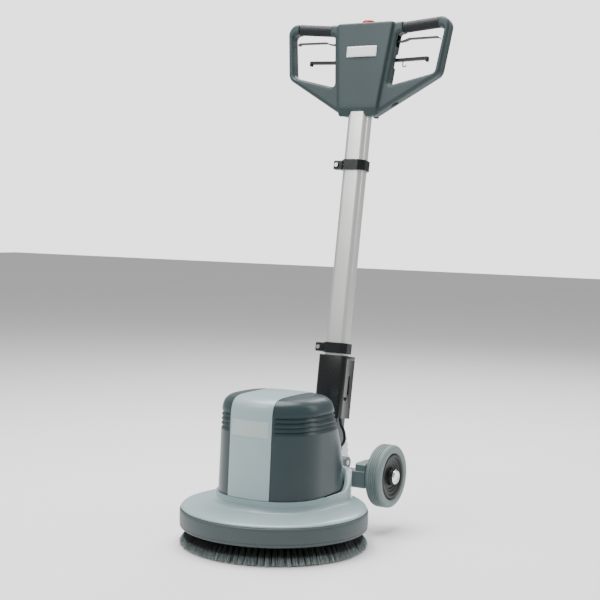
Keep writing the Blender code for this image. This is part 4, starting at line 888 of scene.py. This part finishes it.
relief = []
for side in (-1, 1):
    relief.append(side_slab(side, RECESS, low.y + 0.0125, high.y - 0.0060, low.z - 0.01, high.z - 0.0080, 0.0012))
    relief.append(side_slab(side, SLOT_DEPTH, low.y + 0.0310, low.y + 0.0375, low.z + 0.058, low.z + 0.104, 0.0010))
bm = merged("hinge_box")
bm.transform(HANDLE_INVERSE)
casing = cut_by(as_cutter(bm), relief)
modify(casing, "BEVEL", width=0.0014, segments=3, limit_method="ANGLE", angle_limit=math.radians(35))
bm = into_one([baked(casing), screw_head(-1), screw_head(1)])
add_piece("hinge_box_casing", bm, gloss_black, "handle", ["hinge_box"], smooth=40, place=HANDLE, outward=False)
print("hinge box", round(high.z - low.z, 3), "tall")

# %% [markdown]
# ## The control head
# The head is moulded in two halves that meet on the tube's axis: a crowned panel with an
# open loop at each side. A voxel remesh fuses panel and loops, and smoothing rounds the
# inside corners as a mould does. The halves are parted by a plane and given their wall.

# %% Head: outlines
head_top = handle_box("safety_button")[1].z - 0.0085
head_foot = handle_box("head_front_shell")[0].z
head_front, head_rear = handle_box("head_front_shell")[0].y, handle_box("head_rear_shell")[1].y
panel_wide, panel_narrow = 0.079, 0.053
LOOP_DEPTH = 0.0165
LOOP_ROUND = 0.0082
GRIP_RISE = math.radians(5.0)


def filleted(corners):
    """A closed outline of (x, z, fillet radius) corners, each corner turned into an arc."""
    points = []
    for i, (x, z, radius) in enumerate(corners):
        here = Vector((x, z))
        before = (Vector(corners[i - 1][:2]) - here).normalized()
        after = (Vector(corners[(i + 1) % len(corners)][:2]) - here).normalized()
        half = before.angle(after) / 2
        reach = radius / math.tan(half)
        centre = here + (before + after).normalized() * radius / math.sin(half)
        start, end = here + before * reach - centre, here + after * reach - centre
        for k in range(7):
            points.append(centre + start.lerp(end, k / 6).normalized() * radius)
    return points


def loop_outlines():
    right = [
        (0.0780, head_top - 0.0005, 0.0040), (0.2295, head_top + 0.0102, 0.0260),
        (0.2110, head_foot + 0.1010, 0.0250), (0.0460, head_foot + 0.0040, 0.0100),
    ]
    outer = right + [(-x, z, r) for x, z, r in right[::-1]]
    hole = [
        (0.0885, head_top - 0.0280, 0.0080), (0.2120, head_top - 0.0172, 0.0100),
        (0.1960, head_foot + 0.1055, 0.0120), (0.0745, head_foot + 0.0770, 0.0070),
    ]
    return [filleted(outer), filleted(hole), filleted([(-x, z, r) for x, z, r in hole])]


def head_loops():
    """Flat outlines with a deep round edge, stood up about the tube's axis."""
    curve = bpy.data.curves.new("loops", "CURVE")
    curve.dimensions = "2D"
    curve.fill_mode = "BOTH"
    curve.extrude = LOOP_DEPTH - LOOP_ROUND
    curve.bevel_depth = LOOP_ROUND
    curve.bevel_resolution = 4
    curve.offset = -LOOP_ROUND
    for outline in loop_outlines():
        spline = curve.splines.new("POLY")
        spline.points.add(len(outline) - 1)
        for point, (x, z) in zip(spline.points, outline):
            point.co = (x, z, 0.0, 1.0)
        spline.use_cyclic_u = True
    holder = plain_object("loops", curve)
    graph = bpy.context.evaluated_depsgraph_get()
    mesh = bpy.data.meshes.new_from_object(holder.evaluated_get(graph))
    bpy.data.objects.remove(holder)
    bm = bmesh.new()
    bm.from_mesh(mesh)
    bmesh.ops.remove_doubles(bm, verts=bm.verts, dist=TOUCHING)
    bm.transform(Matrix(((1, 0, 0, 0), (0, 0, 1, 0), (0, 1, 0, 0), (0, 0, 0, 1))))
    bmesh.ops.recalc_face_normals(bm, faces=bm.faces)
    if bm.calc_volume(signed=True) < 0:
        bmesh.ops.reverse_faces(bm, faces=bm.faces)
    return plain_object("loops", as_mesh("loops", bm))


# %% Head: panel
CROWN = 0.0032
CHIN = 0.021


def panel_front(x, z):
    """How far forward the crowned front is: full width above, sloping back at the chin."""
    share = (z - head_foot) / (head_top - head_foot)
    wide = panel_narrow + (panel_wide - panel_narrow) * share
    back = CROWN * min(abs(x) / wide, 1.0) ** 2
    return head_front + back + 0.30 * max(head_foot + CHIN - z, 0.0)


def head_panel():
    edge = 0.0055
    levels = [(0.0, edge * 0.5), (0.006, 0.0)] + [(i / 24, 0.0) for i in range(1, 24)] + [(0.979, 0.0)]
    levels += [(1.0 - edge / 0.2365 * (1 - math.sin(a)), edge * (1 - math.cos(a)))
               for a in (math.pi / 2 * k / 4 for k in range(1, 5))]
    depth = (head_rear - head_front) / 2
    middle = (head_rear + head_front) / 2
    rings = []
    for share, inset in levels:
        wide = panel_narrow + (panel_wide - panel_narrow) * share
        ring = []
        for x, y in oblong(wide - inset, depth - inset, 0.0085, 6):
            d = middle + y
            foot = head_foot + 0.325 * max(d + 0.023, 0.0)
            z = foot + (head_top - foot) * share
            if y < 0:
                d = max(d, panel_front(x, z) + inset)
            ring.append((x, d, z))
        rings.append(ring)
    return as_cutter(skinned(rings, caps=[0, -1]))


# %% [markdown]
# Whatever passes through the head needs room: the tube from below, the latch rod above
# it, the button on top, the four levers at the sides and the sleeves of the grips. Each
# is a plain cutter, and all of them are taken away before smoothing rounds the edges.

# %% Head: cutters
def pillar(outline, low, high):
    return as_cutter(skinned([[(x, y, z) for x, y in outline] for z in (low, high)], caps=[0, 1]))


def disc(radius, count=40):
    return [(radius * math.cos(2 * math.pi * i / count), radius * math.sin(2 * math.pi * i / count))
            for i in range(count)]


def grip_frame(side):
    """The grip's own axes: its middle, turned so that z runs out along the bar."""
    low, high = handle_box(f"grip_{'right' if side > 0 else 'left'}")
    turn = Matrix.Rotation(-side * GRIP_RISE, 4, "Y") @ Matrix.Rotation(side * math.pi / 2, 4, "Y")
    return Matrix.Translation((low + high) / 2) @ turn


def grip_length():
    low, high = handle_box("grip_right")
    return (high.x - low.x - (high.y - low.y) * math.sin(GRIP_RISE)) / math.cos(GRIP_RISE)


def head_cutters():
    tube = handle_box("handle_tube")[1]
    rod_top = handle_box("latch_rod")[1].z
    unit_low, unit_high = handle_box("switch_unit")
    cutters = [
        pillar(oblong(tube.x + 0.0009, tube.y + 0.0009, 0.0129), head_foot - 0.05, tube.z + 0.003),
        pillar(disc(0.0075), tube.z, rod_top + 0.010),
        pillar(disc(0.0192), head_top - 0.0170, head_top + 0.02),
        block((unit_low.x - 0.002, unit_low.y - 0.002, unit_low.z - 0.003),
              (unit_high.x + 0.002, unit_high.y + 0.002, head_top - 0.016)),
    ]
    upper_low, upper_high = handle_box("switch_lever_right")
    lower_low, lower_high = handle_box("solution_lever")
    upper = (upper_low.z + upper_high.z) / 2
    lower = (lower_low.z + lower_high.z) / 2
    half = grip_length() / 2
    for side in (-1, 1):
        near, far = sorted((side * 0.050, side * 0.0885))
        cutters.append(block((near, -0.0085, upper - 0.0135), (far, 0.0085, upper + 0.0150)))
        near, far = sorted((side * 0.020, side * 0.0885))
        cutters.append(block((near, 0.0035, lower - 0.0150), (far, 0.0190, lower + 0.0190)))
        bm = turned([(0.0100, -half), (0.0400, -half), (0.0400, half), (0.0100, half)], 40)
        bm.transform(grip_frame(side))
        cutters.append(as_cutter(bm))
    bm = bmesh.new()
    bmesh.ops.create_cone(bm, cap_ends=True, segments=24, radius1=0.0052, radius2=0.0052, depth=0.030)
    bm.transform(Matrix.Translation((0.0930, -0.0020, head_foot + 0.0330))
                 @ Matrix.Rotation(math.radians(30), 4, "Y"))
    cutters.append(as_cutter(bm))
    return cutters


# %% Head: fuse, smooth and part
VOXEL = 0.0017
SEAM = 0.0003


def fused(shape):
    return baked(modify(shape, "REMESH", mode="VOXEL", voxel_size=VOXEL))


head = fused(as_cutter(into_one([head_loops(), head_panel()])))
fused(cut_by(head, head_cutters()))
baked(modify(head, "SMOOTH", factor=0.5, iterations=5))
print("head faces", len(head.data.polygons))


def head_half(side, name, stands_for):
    bm = bmesh.new()
    bm.from_mesh(head.data)
    cut_away(bm, (0, side * SEAM, 0), (0, -side, 0))
    bmesh.ops.remove_doubles(bm, verts=bm.verts, dist=1e-5)
    piece = add_piece(name, bm, head_plastic, "handle", [stands_for], smooth=50, place=HANDLE)
    return baked(modify(piece, "SOLIDIFY", thickness=0.0025, offset=-1.0))


for side, name, node in ((-1, "head_half_front", "head_front_shell"), (1, "head_half_rear", "head_rear_shell")):
    half = head_half(side, name, node)
    print(name, len(half.data.polygons), "faces")
bpy.data.objects.remove(head)

# %% Head: blank label
def head_plate():
    """A thin plate that follows the crowned panel."""
    low, high = handle_box("head_badge_plate")
    bm = bmesh.new()
    bmesh.ops.create_grid(bm, x_segments=24, y_segments=8, size=0.5)
    for vertex in bm.verts:
        x = low.x + (high.x - low.x) * (vertex.co.x + 0.5)
        z = low.z + (high.z - low.z) * (vertex.co.y + 0.5)
        vertex.co = (x, panel_front(x, z) - 0.0004, z)
    return bm


plate = add_piece("head_label_plate", head_plate(), head_label, "handle", ["head_badge_plate"], place=HANDLE,
                  outward=False)
plate.data.flip_normals()
baked(modify(plate, "SOLIDIFY", thickness=0.0007, offset=1.0))
print("head label", [round(c, 4) for c in plate.dimensions])

# %% [markdown]
# ## Grips
# Each grip is a rubber sleeve over the loop's bar, a little thicker at its two ends.

# %% Grips
for word, side in (("left", -1), ("right", 1)):
    low, high = handle_box(f"grip_{word}")
    radius = (high.y - low.y) / 2
    half = grip_length() / 2
    profile = [(0.0108, -half), (radius, -half), (radius, -half + 0.0030), (radius - 0.0004, -half + 0.0042),
               (radius - 0.0004, half - 0.0042), (radius, half - 0.0030), (radius, half), (0.0108, half)]
    add_piece(f"grip_sleeve_{word}", turned(rounded(profile, 0.0008, 3), 64), grip_black, "handle",
              [f"grip_{word}"], place=HANDLE @ grip_frame(side))
    print("grip", word, round(2 * half, 4))

# %% [markdown]
# ## The tube
# The handle is an extruded aluminium tube of rounded oblong section. Its finish does the
# work here; the shape only needs rounder corners than the working model has.

# %% Handle tube
TUBE_WALL = 0.0025
low, high = handle_box("handle_tube")


def tube_mesh():
    outer = oblong(high.x, high.y, 0.012)
    inner = oblong(high.x - TUBE_WALL, high.y - TUBE_WALL, 0.012 - TUBE_WALL)
    ends = ((outer, low.z), (outer, high.z), (inner, high.z), (inner, low.z))
    return skinned([[(x, y, level) for x, y in plan] for plan, level in ends], closed=True)


add_piece("drawn_tube", tube_mesh(), tube_metal, "handle", ["handle_tube"], place=HANDLE)
print("tube", round(high.z - low.z, 3), "long")

# %% [markdown]
# ## The brush
# A disc brush is a block with tufts punched into it in rings. The tufts lean outward and
# their strands splay, so the outer rows look ragged with dark gaps between tufts. This is
# the kind of repeat that Geometry Nodes do well: every strand is one instance, its tuft
# and its place in the tuft worked out from its index.

# %% Small helper for node trees
class Tree:
    """A Geometry Nodes tree with named inputs, built one call per node."""

    def __init__(self, name, inputs):
        self.group = bpy.data.node_groups.new(name, "GeometryNodeTree")
        self.group.interface.new_socket(name="Geometry", in_out="OUTPUT", socket_type="NodeSocketGeometry")
        self.identifiers = {}
        for label, kind in inputs.items():
            socket = self.group.interface.new_socket(name=label, in_out="INPUT", socket_type=kind)
            self.identifiers[label] = socket.identifier
        self.source = self.group.nodes.new("NodeGroupInput")
        self.sink = self.group.nodes.new("NodeGroupOutput")

    def input(self, label):
        return self.source.outputs[label]

    def node(self, kind, settings=None, inputs=None, output=0):
        new = self.group.nodes.new(kind)
        for setting, value in (settings or {}).items():
            setattr(new, setting, value)
        for socket, value in (inputs or {}).items():
            if isinstance(value, bpy.types.NodeSocket):
                self.group.links.new(value, new.inputs[socket])
            else:
                new.inputs[socket].default_value = value
        return new.outputs[output]

    def math(self, operation, first, second=0.0):
        return self.node("ShaderNodeMath", {"operation": operation}, {0: first, 1: second})

    def finish(self, geometry):
        """Realize what was instanced, give it the named material and send it out."""
        solid = self.node("GeometryNodeRealizeInstances", {}, {0: geometry})
        smooth = self.node("GeometryNodeSetShadeSmooth", {}, {0: solid})
        painted = self.node("GeometryNodeSetMaterial", {}, {0: smooth, "Material": self.input("Finish")})
        self.group.links.new(painted, self.sink.inputs["Geometry"])

    def grow(self, name, values):
        """Run the tree on an empty mesh and keep what it makes as plain mesh."""
        holder = plain_object(name, bpy.data.meshes.new(name))
        modifier = holder.modifiers.new("tree", "NODES")
        modifier.node_group = self.group
        for label, value in values.items():
            modifier[self.identifiers[label]] = value
        return baked(holder)


# %% Tufts of bristle
def tuft_tree():
    number, whole, material = "NodeSocketFloat", "NodeSocketInt", "NodeSocketMaterial"
    tree = Tree("tuft_ring", {
        "Tufts": whole, "Strands": whole, "Root Radius": number, "Flare": number, "Length": number,
        "Tuft Width": number, "Strand Radius": number, "Splay": number, "Seed": whole, "Finish": material})
    flare = tree.input("Flare")
    drop = tree.math("MULTIPLY", tree.input("Length"), -1.0)
    bend = tree.node("ShaderNodeCombineXYZ", {}, {0: tree.math("MULTIPLY", flare, 0.42),
                                                  2: tree.math("MULTIPLY", drop, 0.5)})
    tip = tree.node("ShaderNodeCombineXYZ", {}, {0: flare, 2: drop})
    line = tree.node("GeometryNodeCurveQuadraticBezier", {}, {0: 3, 1: (0, 0, 0), 2: bend, 3: tip})
    section = tree.node("GeometryNodeCurvePrimitiveCircle", {}, {"Resolution": 3,
                                                                 "Radius": tree.input("Strand Radius")})
    strand = tree.node("GeometryNodeCurveToMesh", {}, {0: line, "Profile Curve": section, "Fill Caps": True})
    index = tree.node("GeometryNodeInputIndex")
    tuft = tree.math("FLOOR", tree.math("DIVIDE", index, tree.input("Strands")))
    angle = tree.math("MULTIPLY", tree.math("DIVIDE", tuft, tree.input("Tufts")), 2 * math.pi)

    def random(low, high, salt):
        seed = tree.math("ADD", tree.input("Seed"), float(salt))
        return tree.node("FunctionNodeRandomValue", {"data_type": "FLOAT"}, {2: low, 3: high, 8: seed}, 1)

    spin = random(0.0, 2 * math.pi, 1)
    spread = tree.math("MULTIPLY", tree.math("SQRT", random(0.0, 1.0, 2)), tree.input("Tuft Width"))
    out = tree.math("ADD", tree.input("Root Radius"), tree.math("MULTIPLY", tree.math("COSINE", spin), spread))
    side = tree.math("MULTIPLY", tree.math("SINE", spin), spread)
    cosine, sine = tree.math("COSINE", angle), tree.math("SINE", angle)
    x = tree.math("SUBTRACT", tree.math("MULTIPLY", out, cosine), tree.math("MULTIPLY", side, sine))
    y = tree.math("ADD", tree.math("MULTIPLY", out, sine), tree.math("MULTIPLY", side, cosine))
    place = tree.node("ShaderNodeCombineXYZ", {}, {0: x, 1: y, 2: tree.input("Length")})
    total = tree.math("MULTIPLY", tree.input("Tufts"), tree.input("Strands"))
    points = tree.node("GeometryNodePoints", {}, {"Count": total, "Position": place})
    splay = tree.input("Splay")
    lean_x = tree.math("ADD", tree.math("MULTIPLY", random(-1.0, 1.0, 3), splay),
                       tree.math("MULTIPLY", tree.math("SINE", spin), tree.math("MULTIPLY", splay, 0.9)))
    lean_y = tree.math("SUBTRACT", tree.math("MULTIPLY", random(-1.0, 1.0, 4), splay),
                       tree.math("MULTIPLY", tree.math("COSINE", spin), tree.math("MULTIPLY", splay, 0.9)))
    turn = tree.node("ShaderNodeCombineXYZ", {}, {0: lean_x, 1: lean_y, 2: angle})
    size = random(0.93, 1.0, 5)
    scale = tree.node("ShaderNodeCombineXYZ", {}, {0: size, 1: size, 2: size})
    strands = tree.node("GeometryNodeInstanceOnPoints", {}, {"Points": points, "Instance": strand,
                                                             "Rotation": turn, "Scale": scale})
    tree.finish(strands)
    return tree


low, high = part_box("brush_bristles")
brush_radius = (high.x - low.x) / 2
bristle_length = high.z - low.z
tufts = tuft_tree()
ROWS = [
    # tufts, strands, root radius, flare, tuft width, splay
    (88, 34, brush_radius - 0.0262, 0.0220, 0.0038, 0.060),
    (82, 20, brush_radius - 0.0380, 0.0170, 0.0040, 0.070),
    (70, 10, brush_radius - 0.0520, 0.0110, 0.0050, 0.080),
    (58, 9, brush_radius - 0.0700, 0.0060, 0.0055, 0.080),
    (48, 9, brush_radius - 0.0880, 0.0030, 0.0055, 0.080),
    (38, 9, brush_radius - 0.1060, -0.0020, 0.0055, 0.080),
]
tuft_rows = []
for row, (count, strands, radius, flare, width, splay) in enumerate(ROWS):
    tuft_rows.append(tufts.grow(f"tuft_row_{row + 1}", {
        "Tufts": count, "Strands": strands, "Root Radius": radius, "Flare": flare, "Length": bristle_length,
        "Tuft Width": width, "Strand Radius": 0.00062, "Splay": splay, "Seed": 11 + row,
        "Finish": bristle_nylon}))
bristles = plain_object("bristle_tufts", as_mesh("bristle_tufts", into_one(tuft_rows)))
bristles.data.materials.append(bristle_nylon)
bristles.data.transform(BASE)
for vertex in bristles.data.vertices:
    vertex.co.z = max(vertex.co.z, 0.0002)
settle(bristles, "brush", ["brush_bristles"])
print("bristle triangles", sum(len(face.vertices) - 2 for face in bristles.data.polygons))

# %% [markdown]
# ## The motor lead
# One black lead leaves the hinge box, bows rearward past the pivot and enters the cover
# through a gland. It crosses the tilt joint: its route starts at points in the handle's frame
# and ends at points in the base's, and the finished lead is left attached to neither.

# %% Motor lead
def follow(points, count):
    """Evenly spread points on a smooth curve through the route."""
    path = [2 * points[0] - points[1]] + points + [2 * points[-1] - points[-2]]
    spans = len(path) - 3
    result = []
    for i in range(count):
        position = spans * i / (count - 1)
        k = min(int(position), spans - 1)
        t = position - k
        a, b, c, d = path[k:k + 4]
        result.append(0.5 * ((2 * b) + (c - a) * t + (2 * a - 5 * b + 4 * c - d) * t ** 2
                             + (3 * b - a - 3 * c + d) * t ** 3))
    return result


def tube_along(points, radius, sides=20):
    rows = []
    across = Vector((1, 0, 0))
    for i, point in enumerate(points):
        ahead = (points[min(i + 1, len(points) - 1)] - points[max(i - 1, 0)]).normalized()
        across = (across - ahead * across.dot(ahead)).normalized()
        up = ahead.cross(across)
        rows.append([point + radius * (across * math.cos(a) + up * math.sin(a))
                     for a in (2 * math.pi * k / sides for k in range(sides))])
    return skinned(rows, caps=[0, -1])


box_low = handle_box("hinge_box")[0]
gland_low, gland_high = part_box("lead_gland")
lead_x = (gland_low.x + gland_high.x) / 2
gland_z = (gland_low.z + gland_high.z) / 2
ROUTE = [(0.0020, 0.2480, 0.2440), (0.0045, 0.2580, 0.2270), (0.0050, 0.2620, 0.2090),
         (0.0045, 0.2540, 0.1960), (0.0020, 0.2350, 0.1895), (0.0, 0.2100, 0.1880)]
lead_route = [HANDLE @ Vector((lead_x, -0.006, box_low.z + rise)) for rise in (0.012, 0.0)]
lead_route += [BASE @ Vector((lead_x + x, y, z)) for x, y, z in ROUTE]
lead_route.append(Vector((lead_x, gland_high.y + 0.0004, gland_z)))
lead_points = follow(lead_route, 72)
lead = add_piece("motor_lead_jacket", tube_along(lead_points, 0.0035), lead_black, "chassis")
lead.parent = None
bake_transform(lead)
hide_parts("motor_lead")
print("lead", round(sum((b - a).length for a, b in zip(lead_points, lead_points[1:])), 3), "long")

# %% [markdown]
# ## What is left
# The inner parts are hidden by the covers, but they show when the library's user opens
# the model, so each gets the finish of its real metal or plastic.

# %% Finishes for the working model's own nodes
OWN_FINISH = {
    "gearbox_housing": cast_metal, "ring_gear": gear_steel, "output_bearing": bright_steel,
    "motor_housing": cast_metal, "stator_core": winding_copper, "motor_end_bell": cast_metal,
    "lower_motor_bearing": bright_steel, "upper_motor_bearing": bright_steel,
    "start_capacitor": capacitor_plastic, "run_capacitor": capacitor_plastic, "wheel_axle": plain_steel,
    "hinge_shaft": plain_steel, "brush_block": brush_plastic, "brush_socket": brush_plastic,
    "drive_plate": plain_steel, "planet_carrier": cast_metal, "planet_gear_1": gear_steel,
    "planet_gear_2": gear_steel, "planet_gear_3": gear_steel, "rotor_shaft": plain_steel,
    "sun_gear": gear_steel, "rotor_core": plain_steel, "cooling_fan": fan_plastic,
    "switch_unit": switch_plastic, "latch_rod": plain_steel,
}
for node, finish in OWN_FINISH.items():
    mesh = nodes[node].data
    mesh.materials.clear()
    mesh.materials.append(finish)
print("nodes finished", len(OWN_FINISH))

# %% [markdown]
# ## Floor, light and camera
# The machine stands on a plain pale floor under soft studio light: a broad box overhead,
# a key from the front left, and two weaker ones behind that draw the edges. The sky is
# brighter to the camera than it is as a light, so the shades keep their depth.

# %% Floor
def floor_finish():
    finish = Finish("studio_floor", 0.6, specular=0.2)
    patches = finish.noise(1.3, 2.0).between(0.3, 0.7)
    finish.colour(finish.mix(patches * 0.5, (0.88, 0.88, 0.88, 1), (0.90, 0.90, 0.90, 1)))
    return finish.material


bm = bmesh.new()
bmesh.ops.create_grid(bm, x_segments=2, y_segments=2, size=14.0)
floor = plain_object("floor", as_mesh("floor", bm))
floor.data.materials.append(floor_finish())
floor.location.z = -0.0006

# %% Lights
SKY_LIGHT = 0.50
SKY_SEEN = 2.4
world = bpy.data.worlds.new("studio")
world.use_nodes = True
sky = world.node_tree
background = sky.nodes["Background"]
background.inputs["Color"].default_value = (1.0, 1.0, 1.0, 1.0)
rays = sky.nodes.new("ShaderNodeLightPath")
seen = sky.nodes.new("ShaderNodeMapRange")
seen.inputs["To Min"].default_value = SKY_LIGHT
seen.inputs["To Max"].default_value = SKY_SEEN
sky.links.new(rays.outputs["Is Camera Ray"], seen.inputs["Value"])
sky.links.new(seen.outputs["Result"], background.inputs["Strength"])
bpy.context.scene.world = world


def softbox(name, place, aim, size, power, tall=None):
    light = bpy.data.lights.new(name, "AREA")
    light.shape = "RECTANGLE"
    light.size = size
    light.size_y = tall or size
    light.energy = power
    lamp = plain_object(name, light)
    lamp.location = place
    lamp.rotation_euler = (Vector(aim) - Vector(place)).to_track_quat("-Z", "Y").to_euler()


softbox("key", (-1.2, -2.6, 2.6), (0, 0, 0.45), 1.4, 42)
softbox("overhead", (-0.4, 0.1, 3.2), (0, 0, 0), 2.4, 200)
softbox("back", (-0.4, 3.0, 2.6), (0, 0, 0.2), 1.6, 50)
softbox("edge", (2.4, 1.8, 2.0), (0, 0, 0.6), 1.0, 26, 2.0)

# %% Camera
def aim_camera():
    """The camera stands low in front and to the right, a little tilted, on a long lens."""
    azimuth, height, distance = math.radians(31.79), 0.751, 2.970
    pitch, yaw, roll = math.radians(3.73), math.radians(-0.93), math.radians(1.31)
    heading = azimuth + yaw
    place = Vector((math.sin(azimuth) * distance, -math.cos(azimuth) * distance + spindle.y, height))
    forward = Vector((-math.sin(heading), math.cos(heading), 0.0))
    right = Vector((math.cos(heading), math.sin(heading), 0.0))
    up = Vector((0.0, 0.0, 1.0))
    look = forward * math.cos(pitch) - up * math.sin(pitch)
    level_up = up * math.cos(pitch) + forward * math.sin(pitch)
    across = right * math.cos(roll) + level_up * math.sin(roll)
    upward = level_up * math.cos(roll) - right * math.sin(roll)
    turn = Matrix((across, upward, -look)).transposed().to_4x4()
    turn.translation = place
    camera = plain_object("camera", bpy.data.cameras.new("camera"))
    camera.data.lens = 79.02
    camera.data.sensor_width = 36.0
    camera.matrix_world = turn
    bpy.context.scene.camera = camera


aim_camera()
